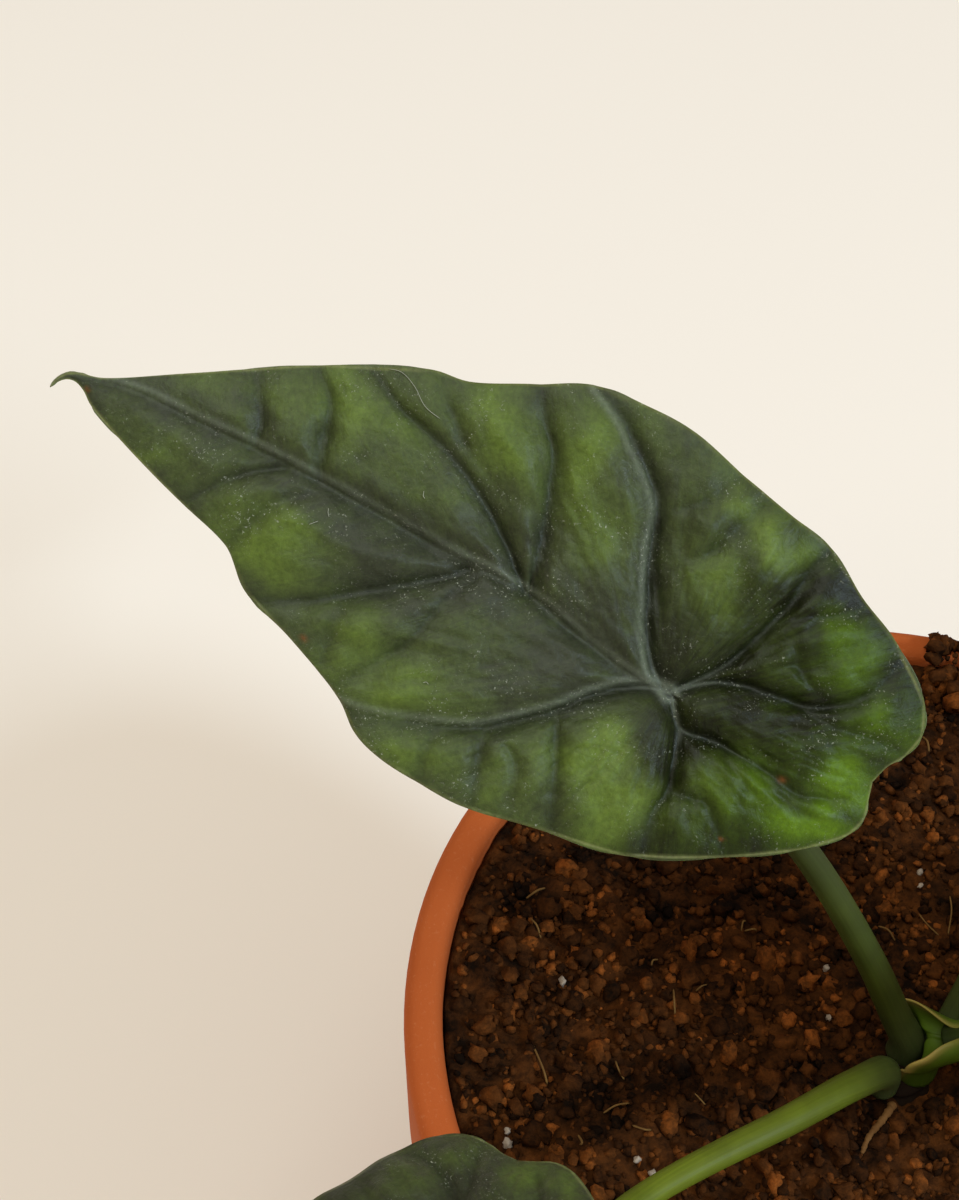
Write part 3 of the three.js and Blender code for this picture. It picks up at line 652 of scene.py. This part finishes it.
def make_pot():
    """Turned from a profile of radius and height: drain hole, foot, outside, lip, inside and floor"""
    band_foot = POT_HEIGHT - RIM_BAND
    body = RIM_RADIUS - RIM_STEP
    inner = RIM_RADIUS - WALL
    lip = POT_HEIGHT - LIP_ROUND
    profile = [
        (DRAIN_RADIUS, DRAIN_EDGE), (DRAIN_RADIUS + DRAIN_EDGE, 0),
        (BASE_RADIUS - FOOT_ROUND, 0), (BASE_RADIUS - 0.4, 0.45), (BASE_RADIUS, FOOT_ROUND),
        (body - 1.4, band_foot - 0.8), (body - 1, band_foot), (RIM_RADIUS - 0.9, band_foot + 0.5),
        (RIM_RADIUS - 0.2, band_foot + 1.6), (RIM_RADIUS, band_foot + 3),
        *round_part(RIM_RADIUS - LIP_ROUND, lip, 0, 7),
        *round_part(inner + LIP_ROUND, lip, math.pi / 2, 7),
        (inner, band_foot), (inner_radius(FLOOR + 4), FLOOR + 4), (inner_radius(FLOOR) - 4, FLOOR),
        (DRAIN_RADIUS + DRAIN_EDGE, FLOOR), (DRAIN_RADIUS, FLOOR - DRAIN_EDGE),
    ]
    sides = 144
    piece, around, up = grid_piece("pot_clay", sides, len(profile))
    ring = np.array([*profile, profile[0]])[np.rint(up * len(profile)).astype(int)]
    turn = around * FULL_TURN
    place_corners(piece, np.stack([ring[:, 0] * np.cos(turn), ring[:, 0] * np.sin(turn), ring[:, 1]], -1))
    edit(piece, merge, face_out)
    finish_piece(piece, terracotta(), "terracotta", "pot")
    edit(piece)
    bpy.ops.object.shade_smooth_by_angle(angle=math.radians(40))


# The soil

def soil_height(x, y):
    """The soil's broad lumps, calmer towards the wall, with the heap at the back"""
    lumps = 0.8 * np.sin(0.19 * x + 1.3) * np.cos(0.16 * y) + 0.5 * np.sin(0.43 * x - 0.37 * y)
    turn = (np.degrees(np.arctan2(y, x)) - HEAP_DIRECTION + 180) % 360 - 180
    outward = smoothstep(np.hypot(x, y), *HEAP_RUN)
    heap = HEAP_RISE * outward * np.exp(-((turn / HEAP_SPREAD) ** 2))
    return SOIL_LEVEL + lumps * (1 - 0.7 * outward) + heap


def crumble(x, y):
    """The soil's fine unevenness between its crumbs"""
    return np.array([
        CRUMBLE * noise.fractal((a / CRUMBLE_SIZE, b / CRUMBLE_SIZE, 3), 1, 2, 4) for a, b in zip(x, y)
    ])


def make_soil_bed(material):
    """The soil as one body, from the pot's floor along its wall and over its uneven surface"""
    surface_rings, sides = 84, 260
    low = FLOOR + 0.3
    rings = [(SOIL_REACH * i / surface_rings, 1) for i in range(surface_rings + 1)]
    body = [(SOIL_REACH - 0.2, POT_HEIGHT - RIM_BAND), (inner_radius(FLOOR + 6) - 1, FLOOR + 6),
            (inner_radius(FLOOR) - 6, low), (0, low)]
    piece, around, outward = grid_piece("soil_bed", sides, surface_rings + len(body))
    row = np.rint(outward * (surface_rings + len(body))).astype(int)
    radius = np.array([r for r, _ in rings + body])[row]
    turn = around * FULL_TURN
    x, y = radius * np.cos(turn), radius * np.sin(turn)
    top = row <= surface_rings
    z = np.array([h for _, h in rings + body], float)[row]
    z[top] = soil_height(x[top], y[top]) + crumble(x[top], y[top])
    place_corners(piece, np.stack([x, y, z], -1))
    mark(piece, "tint", 0.45 + 0.15 * np.sin(0.7 * x) * np.sin(0.9 * y))
    edit(piece, merge, face_out)
    finish_piece(piece, material, "potting_soil", "soil")


def strewn(name, fineness, places, sizes, seed):
    """Many uneven lumps as one mesh, each turned and squashed its own way. Gives the piece, and how
    many corners each lump has."""
    bpy.ops.object.select_all(action="DESELECT")
    bpy.ops.mesh.primitive_ico_sphere_add(subdivisions=fineness, radius=1)
    piece = start_piece(name)
    model = corners(piece) * MM
    faces = np.array([face.vertices for face in piece.data.polygons])
    draw = np.random.default_rng(seed)
    count = len(places)
    dents = draw.standard_normal((count, len(model), 1)).clip(-1.5, 1.5)
    lumps = model[None] * (1 + LUMP_ROUGHNESS * dents)
    broad, high = (draw.uniform(LUMP_FLATNESS, 1, count) for _ in range(2))
    lumps = lumps * np.stack([np.ones(count), broad, high], -1)[:, None]
    turns = np.array([Euler(a).to_matrix() for a in draw.uniform(0, FULL_TURN, (count, 3))])
    lumps = np.einsum("nij,nvj->nvi", turns, lumps) * sizes[:, None, None] + places[:, None]
    every = (faces[None] + len(model) * np.arange(count)[:, None, None]).reshape(-1, 3)
    piece.data.clear_geometry()
    piece.data.from_pydata((lumps.reshape(-1, 3) * MM).tolist(), [], every.tolist())
    return piece, len(model)


def soil_places(count, seed, reach, clear):
    """Random places on the soil, clear of the crown's hollow and the wall"""
    draw = np.random.default_rng(seed)
    radius = reach * np.sqrt(draw.uniform(0, 1, count))
    turn = draw.uniform(0, FULL_TURN, count)
    x, y = radius * np.cos(turn), radius * np.sin(turn)
    free = np.hypot(x - CROWN[0], y - CROWN[1]) > CROWN_RADIUS + clear
    return x[free], y[free]


def make_crumbs(material):
    """Crumbs all over the soil, most of them small and dark"""
    draw = np.random.default_rng(31)
    for name, fineness, count, low, high, clear, place_seed, lump_seed in CRUMBS:
        x, y = soil_places(count, place_seed, SOIL_REACH - high, clear)
        sizes = low + (high - low) * draw.uniform(0, 1, len(x)) ** 2.2
        z = soil_height(x, y) + sizes * draw.uniform(-0.1, 0.5, len(x))
        piece, corner_count = strewn(name, fineness, np.stack([x, y, z], -1), sizes, lump_seed)
        tint = 0.3 + 0.85 * draw.uniform(0, 1, len(x)) ** 1.8
        mark(piece, "tint", np.repeat(tint, corner_count))
        finish_piece(piece, material, "potting_soil", "soil")


def make_heap(material):
    """Soil spilled over the lip at the back right"""
    draw = np.random.default_rng(5)
    count = 1100
    aside = np.clip(draw.standard_normal(count) * 0.55, -1.05, 1)
    turn = np.radians(HEAP_DIRECTION + HEAP_SPREAD * aside)
    sizes = 0.5 + 1.7 * draw.uniform(0, 1, count) ** 2.5
    radius = draw.uniform(SOIL_REACH - 9, RIM_RADIUS - 1.2, count) - 0.3 * sizes
    x, y = radius * np.cos(turn), radius * np.sin(turn)
    ground = np.where(radius > SOIL_REACH - 1, POT_HEIGHT + 0.2, soil_height(x, y))
    z = ground + sizes * draw.uniform(0.3, 1.4, count)
    piece, corner_count = strewn("soil_heap", 2, np.stack([x, y, z], -1), sizes, seed=77)
    tint = 0.45 + 0.6 * draw.uniform(0, 1, count)
    mark(piece, "tint", np.repeat(tint, corner_count))
    finish_piece(piece, material, "potting_soil", "soil")


def make_perlite():
    """A few white grains: some strewn at random, and those that the photograph shows"""
    x, y = soil_places(14, seed=11, reach=SOIL_REACH - 4, clear=5)
    x, y = np.r_[x, PERLITE_SEEN[:, 0]], np.r_[y, PERLITE_SEEN[:, 1]]
    sizes = np.random.default_rng(12).uniform(0.45, 0.85, len(x))
    piece, _ = strewn("perlite", 2, np.stack([x, y, soil_height(x, y) + 1.3], -1), sizes, seed=13)
    finish_piece(piece, perlite_grain(), "potting_soil")


# Bars: stalks, crown, root, fibres and lint

def bar_piece(name, line, radius_at, sides, steps):
    """A round bar along a line, closed at both ends by radii that end at nothing"""
    piece, around, along = grid_piece(name, sides, steps)
    middle = part_way(line, along)
    ahead = heading(line, along)
    side = unit(np.cross((0.3, 0.95, 0), ahead))
    top = np.cross(ahead, side)
    turn = around * FULL_TURN
    out = side * np.cos(turn)[:, None] + top * np.sin(turn)[:, None]
    place_corners(piece, middle + out * radius_at(along, turn)[:, None])
    mark(piece, "along", along)
    mark(piece, "rim", np.zeros(len(along)))
    edit(piece, merge, face_out)
    return piece


def round_ends(along, length, radius):
    """1 along the bar, falling to 0 over a quarter round at both ends"""
    end = np.clip(np.minimum(along, 1 - along) * length / radius, 0, 1)
    return np.sqrt(1 - (1 - end) ** 2)


def blade_turn(leaf):
    """The turn that brings the flattened blade's axes to the leaf's"""
    azimuth, rise, roll = (math.radians(leaf[k]) for k in ("azimuth", "rise", "roll"))
    return np.array(Matrix.Rotation(azimuth, 3, "Z") @ Matrix.Rotation(-rise, 3, "Y")
                    @ Matrix.Rotation(roll, 3, "X"))


def stalk_line(leaf):
    """From inside the crown along the stalk's way, then round to the blade's underside and into it"""
    normal = blade_turn(leaf)[:, 2]
    foot = np.array([*leaf["foot"], STALK_FOOT])
    below = np.array(leaf["joint"]) - STALK_STEP * normal
    back = unit(np.array(leaf["way"][-1]) - below)
    neck = below - STALK_NECK * normal + STALK_NECK * back
    end = leaf["joint"] - STALK_END * normal
    return smooth_line([foot - (0, 0, STALK_SUNK), foot + (0, 0, 1.5), *leaf["way"],
                        neck, below - STALK_STEP * normal, end], 24)


def make_stalk(number, leaf, material):
    """A tapered stalk with a shallow groove along it, thicker at its foot and its neck"""
    start = leaf.get("sheathed", 0)
    line = part_way(stalk_line(leaf), np.linspace(start, 1, 160))
    length = np.linalg.norm(np.diff(line, axis=0), axis=1).sum()
    low, high = leaf["radii"]

    def radius_at(along, turn):
        plain = low + (high - low) * along
        off_groove = np.angle(np.exp(1j * (turn - GROOVE_SIDE)))
        groove = 1 - 0.1 * np.exp(-((off_groove / 0.5) ** 2))
        foot = 1 + (0 if start else 0.12) * (1 - smoothstep(along, 0, 0.14))
        neck = 1 + 0.25 * smoothstep(along, 0.95, 1)
        return plain * groove * foot * neck * round_ends(along, length, radius=0.6)

    piece = bar_piece(f"stalk_{number}", line, radius_at, sides=36, steps=220)
    finish_piece(piece, material, "leaf_stalk", f"petiole_{number}")


def make_sheath(number, leaf, material):
    """The foot of the third stalk: a trough, open to the upper left, with thin dry rims. The grid's
    first half goes round its outside, and the second half back along its inside."""
    steps, half = 64, 30
    piece, around, up = grid_piece(f"stalk_{number}_sheath", 2 * half, steps)
    reach = SHEATH_LENGTH * up
    line = stalk_line(leaf)
    ahead = heading(line, reach)
    opening = unit(np.array(SHEATH_OPENING) - ahead * (ahead @ SHEATH_OPENING)[:, None])
    across = np.cross(ahead, opening)
    corner = np.rint(around * 2 * half).astype(int) % (2 * half)
    outer = corner < half
    part = np.where(outer, corner, 2 * half - 1 - corner) / (half - 1)
    edge = np.minimum(part, 1 - part)
    closing = smoothstep(up, 0.4, 1)
    gap = np.radians((68 - 52 * closing) * (0.3 + 0.7 * smoothstep(up, 0, 0.16)))
    turn = gap + part * 2 * (math.pi - gap)
    flare = SHEATH_FLARE * smoothstep(up, -0.03, 0.2) * (1 - smoothstep(up, 0.25, 0.95))
    rolled = 0.25 * np.exp(-((edge / 0.05) ** 2)) * (1 - closing)
    radius = leaf["radii"][0] * (1 + flare) + rolled
    full = 0.3 + 0.7 * smoothstep(up, 0, 0.55)
    wall = SHEATH_RIM + (radius - 0.8) * full * smoothstep(edge, 0, 0.25)
    radius = np.where(outer, radius, np.maximum(radius - wall, 0.1))
    radius = radius * (up > 0) * (up < 1)
    out = opening * np.cos(turn)[:, None] + across * np.sin(turn)[:, None]
    lift = smoothstep(up, 0, 0.14) * (1 - smoothstep(up, 0.2, 0.95))
    middle = part_way(line, reach) + lift[:, None] * SHEATH_LIFT
    place_corners(piece, middle + out * radius[:, None])
    mark(piece, "along", np.where(outer, 0.1 + 0.2 * up, 0.3))
    mark(piece, "rim", np.exp(-((edge / 0.045) ** 2)) * (1 - 0.6 * closing))
    edit(piece, merge, face_out)
    finish_piece(piece, material, "leaf_stalk", f"petiole_{number}")


def make_crown(material):
    """The short stem base under the stalks, ringed by old leaf scars"""
    top = SOIL_LEVEL + 2.4
    line = np.array([(*CROWN, top - STUB_LENGTH), (*CROWN, top - 8), (*CROWN, top)])

    def radius_at(along, turn):
        rings = 0.25 * np.sin(along * 75) + 0.2 * np.sin(3 * turn + 1)
        taper = 1.2 * smoothstep(along, 0.8, 1)
        return (STUB_RADIUS + rings - taper) * round_ends(along, STUB_LENGTH, radius=2)

    piece = bar_piece("crown_stub", line, radius_at, sides=48, steps=80)
    finish_piece(piece, material, "stem", "crown")


def make_root(material):
    """The dry root, knotty and thinner to its end"""
    line = smooth_line(ROOT_WAY, 20)

    def radius_at(along, turn):
        knots = 1 + 0.12 * np.sin(along * 37) + 0.08 * np.sin(along * 91 + turn)
        return (ROOT_RADIUS - 0.3 * along) * knots * round_ends(along, length=14, radius=0.4)

    piece = bar_piece("root_dry", line, radius_at, sides=14, steps=90)
    finish_piece(piece, material, "dry_root", "dry_root")


def make_fibres(material):
    """Fine dry fibres, curved and lying on the soil"""
    draw = np.random.default_rng(41)
    x, y = soil_places(46, seed=42, reach=SOIL_REACH - 8, clear=6)
    turn = draw.uniform(0, FULL_TURN, len(x))
    step = draw.uniform(1.5, 5, len(x))
    ends = zip(x + step * np.cos(turn), y + step * np.sin(turn))
    for number, (start, end) in enumerate([*zip(zip(x, y), ends), *FIBRES_SEEN], 1):
        middle = (np.array(start) + end) / 2 + 0.35 * draw.standard_normal(2)
        flat = np.array([start, middle, end])
        rise = soil_height(*flat.T) + (0.5, 1.3, 0.6)
        line = smooth_line(np.c_[flat, rise], 8)
        thick = draw.uniform(0.1, 0.2)
        length = math.dist(start, end)

        def radius_at(along, turn):
            return thick * round_ends(along, length, radius=0.4)

        piece = bar_piece(f"fibre_{number}", line, radius_at, sides=6, steps=16)
        finish_piece(piece, material, "potting_soil")


def make_lint(hairs, material):
    """Fine hairs of lint on the first leaf"""
    def radius_at(along, turn):
        return LINT_RADIUS * round_ends(along, length=4, radius=0.3)

    for number, hair in enumerate(hairs, 1):
        piece = bar_piece(f"lint_{number}", smooth_line(hair, 8), radius_at, sides=6, steps=20)
        finish_piece(piece, material, "leaf_blade")


# Blades

def vein_marks(flat):
    """What the veins do at each place of the flattened blade: how deep the valley and the fold are,
    how strong the pale thread with its painted highlights and the painted shade of the dark crease are,
    and how far the nearest vein is, farther for a shallow one"""
    valleys = np.zeros((2, len(flat)))
    thread_and_highlight = np.zeros(len(flat))
    crease_shade = np.zeros(len(flat))
    nearest = np.full(len(flat), 99.0)
    # The threads are paler close to the joint: a painted highlight there
    bright = 0.18 + 0.8 * np.exp(-((np.hypot(*flat.T) / 5) ** 2))
    for rank, (run, (start, end), (right, left)) in enumerate(VEINS):
        midrib = rank == 0
        gap, on_left, along = near_line(smooth_line(run, 5), flat)
        depth = start + (end - start) * along
        away = (np.hypot(gap, 0.25) - 0.25) / np.where(on_left, left, right)
        fold = depth * (MIDRIB_FOLD if midrib else 1)
        valleys[0] += (depth * np.exp(-((away / VALLEY_SPREAD) ** 2))) ** 3
        valleys[1] += (fold * np.exp(-away / FOLD_SPREAD)) ** 3
        thread_and_highlight = np.maximum(thread_and_highlight, bright * depth ** 2 * np.exp(-((gap / THREAD_WIDTH) ** 2)))
        steep = (left != right) & (on_left == (left < right))
        # The pale wall on a vein's steep side is a painted highlight, on the wall that faces the light
        highlight = WALL_HIGHLIGHT * (MIDRIB_HIGHLIGHT if midrib else 1)
        wall = highlight * depth * np.exp(-(((gap - HIGHLIGHT_PLACE) / HIGHLIGHT_WIDTH) ** 2))
        thread_and_highlight = np.maximum(thread_and_highlight, np.where(steep, wall, 0))
        # The crease's painted shade reaches wider on the vein's other side, the one in shade
        shaded = (left != right) & ~steep
        width = np.where(shaded, SHADED_WIDTH, CREASE_WIDTH)
        crease_shade = np.maximum(crease_shade, fold * np.exp(-((gap / width) ** 2)))
        nearest = np.minimum(nearest, gap / depth)
    valley, fold = np.minimum(1, np.cbrt(valleys))
    return valley, fold, thread_and_highlight, crease_shade, nearest


def fan_ripples(flat):
    """Fine ripples that fan out from the stalk and fade at it"""
    far = np.hypot(*flat.T) + 1
    around = np.arctan2(flat[:, 1], flat[:, 0])
    ripple = [noise.fractal((7 * math.cos(a), 7 * math.sin(a), 2.2 * math.log(r)), 0.8, 2, 3)
              for a, r in zip(around, far)]
    return np.array(ripple) * smoothstep(far, 4, 16)


def fresh_and_lit_green(flat, valley, ripple):
    """How strong the fresh green is, partly its own colour and partly painted light: the patches, and a
    little towards the sides, less in the valleys as painted shade
    """
    cloud = [[noise.noise((x / PATCH_SWAY_SIZE, y / PATCH_SWAY_SIZE, level)) for level in (5, 25)]
             for x, y in flat]
    sway = PATCH_SWAY * np.array(cloud)
    fresh_and_lit = np.zeros(len(flat))
    for middle, reach, strength in FRESH_AND_LIT_PATCHES:
        away = (flat + sway - middle) / reach
        fresh_and_lit = np.maximum(fresh_and_lit, strength * np.exp(-0.7 * (away ** 2).sum(1)))
    sides = 0.2 * smoothstep(abs(flat[:, 1]), 4, 15) * smoothstep(flat[:, 0], -8, 6)
    return (fresh_and_lit + sides) * (1 - 0.7 * valley) * (1 + 0.3 * ripple) + 0.05


def blade_relief(flat, leaf):
    """Height of the upper face over the flattened blade, with what its colours need to know"""
    inset = np.minimum(*(near_line(np.array(m), flat)[0] for m in (UPPER_MARGIN, LOWER_MARGIN)))
    valley, fold, thread_and_highlight, crease_shade, nearest = vein_marks(flat)
    ripple = fan_ripples(flat)
    wrinkle = np.array([noise.fractal((x / WRINKLE_SIZE, y / WRINKLE_SIZE, 8), 1, 2, 3) for x, y in flat])
    fade = EDGE_QUILT + (1 - EDGE_QUILT) * smoothstep(inset, 0, EDGE_BAND)
    dome = 0.8 + 0.2 * smoothstep(nearest, 0, 9)
    swell = PANEL_SHARE * (1 - valley) * dome + CREST_SHARE * (1 - fold)
    height = QUILT_HEIGHT * fade * swell + VEIN_RISE * thread_and_highlight
    uneven = (WRINKLE * wrinkle + RIPPLE * ripple) * smoothstep(inset, 0, 5)
    height += uneven - MARGIN_DROP * np.exp(-inset / MARGIN_ROUND)
    height += CUP * flat[:, 1] ** 2 - leaf["droop"] * flat[:, 0] ** 2
    scar = np.zeros(len(flat))
    for middle, radius in SCARS:
        scar = np.maximum(scar, 0.9 * np.exp(-(((flat - middle) / radius) ** 2).sum(1)))
    heelward = -flat[:, 0]
    return height, dict(
        scar=scar, valley=valley, crease_shade=crease_shade, thread_and_highlight=thread_and_highlight,
        fresh_and_lit=np.clip(leaf["fresh_and_lit_strength"] * fresh_and_lit_green(flat, valley, ripple), 0, 1.2),
        rim=np.exp(-((inset / 0.2) ** 2)),
        # Painted shade in the lobes, and no painted sheen at the heel
        lobe_shade=leaf["deep"] * smoothstep(heelward, -14, 6),
        heel_without_sheen=leaf["deep"] * smoothstep(heelward, 2, 16),
        full=smoothstep(inset, 0, 2.5),
    )


def lint_ways(flat, places, normal):
    """The hairs' ways over the shaped leaf, just clear of its skin"""
    return [[places[np.hypot(*(flat - spot).T).argmin()] + LINT_CLEAR * normal for spot in hair]
            for hair in LINT]


def make_blade(number, leaf, material):
    """Shapes the upper face over the outline, turns it to its place and gives it its thickness.
    Gives the ways of the hairs on the first leaf."""
    lines = [smooth_line(points, 12) for points in (AXIS, UPPER_MARGIN, LOWER_MARGIN)]
    piece, across, share = grid_piece(f"leaf_{number}", 2 * leaf["columns"], leaf["rows"])
    parts = [np.interp(share, GUIDE_ROWS[:, 3], GUIDE_ROWS[:, k]) for k in range(3)]
    middle, upper, lower = (part_way(line, part) for line, part in zip(lines, parts))
    away = (2 * across - 1)[:, None]
    flat = middle + (np.where(away < 0, upper, lower) - middle) * abs(away)
    height, marks = blade_relief(flat, leaf)
    along, broad = leaf["scale"]
    local = np.stack([flat[:, 0] * along, flat[:, 1] * broad * leaf["mirror"], height * along], -1)
    turn = blade_turn(leaf)
    places = local @ turn.T + leaf["joint"]
    hairs = lint_ways(flat, places, turn[:, 2]) if number == 1 else []
    place_corners(piece, places)
    for name, values in marks.items():
        mark(piece, name, values)
    edit(piece, merge)
    upward = sum((face.normal * face.area for face in piece.data.polygons), Vector())
    if upward @ Vector(turn[:, 2]) < 0:
        edit(piece, bpy.ops.mesh.flip_normals)
    upper_count = len(piece.data.vertices)
    group = piece.vertex_groups.new(name="full")
    for corner, full in enumerate(piece.data.attributes["full"].data):
        group.add([corner], full.value, "REPLACE")
    apply_modifier(piece, "SOLIDIFY", thickness=BLADE_THICKNESS * MM, offset=-1,
                   vertex_group="full", thickness_vertex_group=MARGIN_THICKNESS_SHARE)
    mark(piece, "under", np.arange(len(piece.data.vertices)) >= upper_count)
    finish_piece(piece, material, "leaf_blade", f"blade_{number}")
    return hairs


# Floor, light and camera

def make_floor():
    """A wide pale floor under the pot"""
    bpy.ops.object.select_all(action="DESELECT")
    bpy.ops.mesh.primitive_plane_add(size=12)
    floor = start_piece("floor")
    floor.data.materials.append(studio_floor())


def soft_light(name, place, aim, size, power, colour):
    """A round soft box. Its place, aim and size are in metres."""
    lamp = bpy.data.lights.new(name, "AREA")
    lamp.shape = "DISK"
    lamp.size = size
    lamp.energy = power
    lamp.color = linear(colour)[:3]
    light = bpy.data.objects.new(name, lamp)
    light.location = place
    light.rotation_euler = (Vector(aim) - Vector(place)).to_track_quat("-Z", "Y").to_euler()
    bpy.context.scene.collection.objects.link(light)


def fill_light(colour, strength):
    """The room's even light from all round"""
    world = bpy.data.worlds.new("studio")
    world.use_nodes = True
    background = world.node_tree.nodes["Background"].inputs
    background["Color"].default_value = linear(colour)
    background["Strength"].default_value = strength
    bpy.context.scene.world = world


def set_camera():
    camera = bpy.data.objects.new("camera", bpy.data.cameras.new("camera"))
    camera.data.lens = LENS
    camera.data.sensor_width = SENSOR
    camera.location = Vector(CAMERA_PLACE) * MM
    camera.rotation_euler = (math.radians(90 - CAMERA_DOWN), 0, 0)
    bpy.context.scene.collection.objects.link(camera)
    bpy.context.scene.camera = camera


# The whole plant, from the pot up, and then its stage

make_pot()
mix = potting_mix()
make_soil_bed(mix)
make_crumbs(mix)
make_heap(mix)
make_perlite()
olive = stalk_skin("leaf_stalk_olive", "#3a4122", "#394212", "#454f24")
bright = stalk_skin("leaf_stalk_bright", "#3d4726", "#535d14", "#626f17")
sheathed = stalk_skin("leaf_sheath_green", "#1c2606", "#465c10", "#454f24")
waxy = blade_skin()
hairs = []
for number, (leaf, skin) in enumerate(zip(LEAVES, (olive, bright, sheathed, olive)), 1):
    make_stalk(number, leaf, skin)
    hairs += make_blade(number, leaf, waxy)
make_lint(hairs, dry_fibre("lint_white", "#8d8f80", "#a4a594"))
make_sheath(3, LEAVES[2], sheathed)
make_crown(dry_fibre("stem_base_corky", "#0e0804", "#201307"))
make_root(dry_fibre("root_skin_dry", "#4a2c12", "#805c33"))
make_fibres(dry_fibre("fibre_straw", "#4a2f15", "#8a6a3a"))

make_floor()
soft_light("key", (2.1, -1.25, 1.85), aim=(0, 0, 0.15), size=0.6, power=57, colour="#d4eaff")
soft_light("top", (-0.55, -0.35, 3.1), aim=(0, 0.1, 0.1), size=3.2, power=73, colour="#f6fdf9")
fill_light("#ffdfcb", 0.33)
bpy.context.scene.view_settings.view_transform = "Standard"
set_camera()
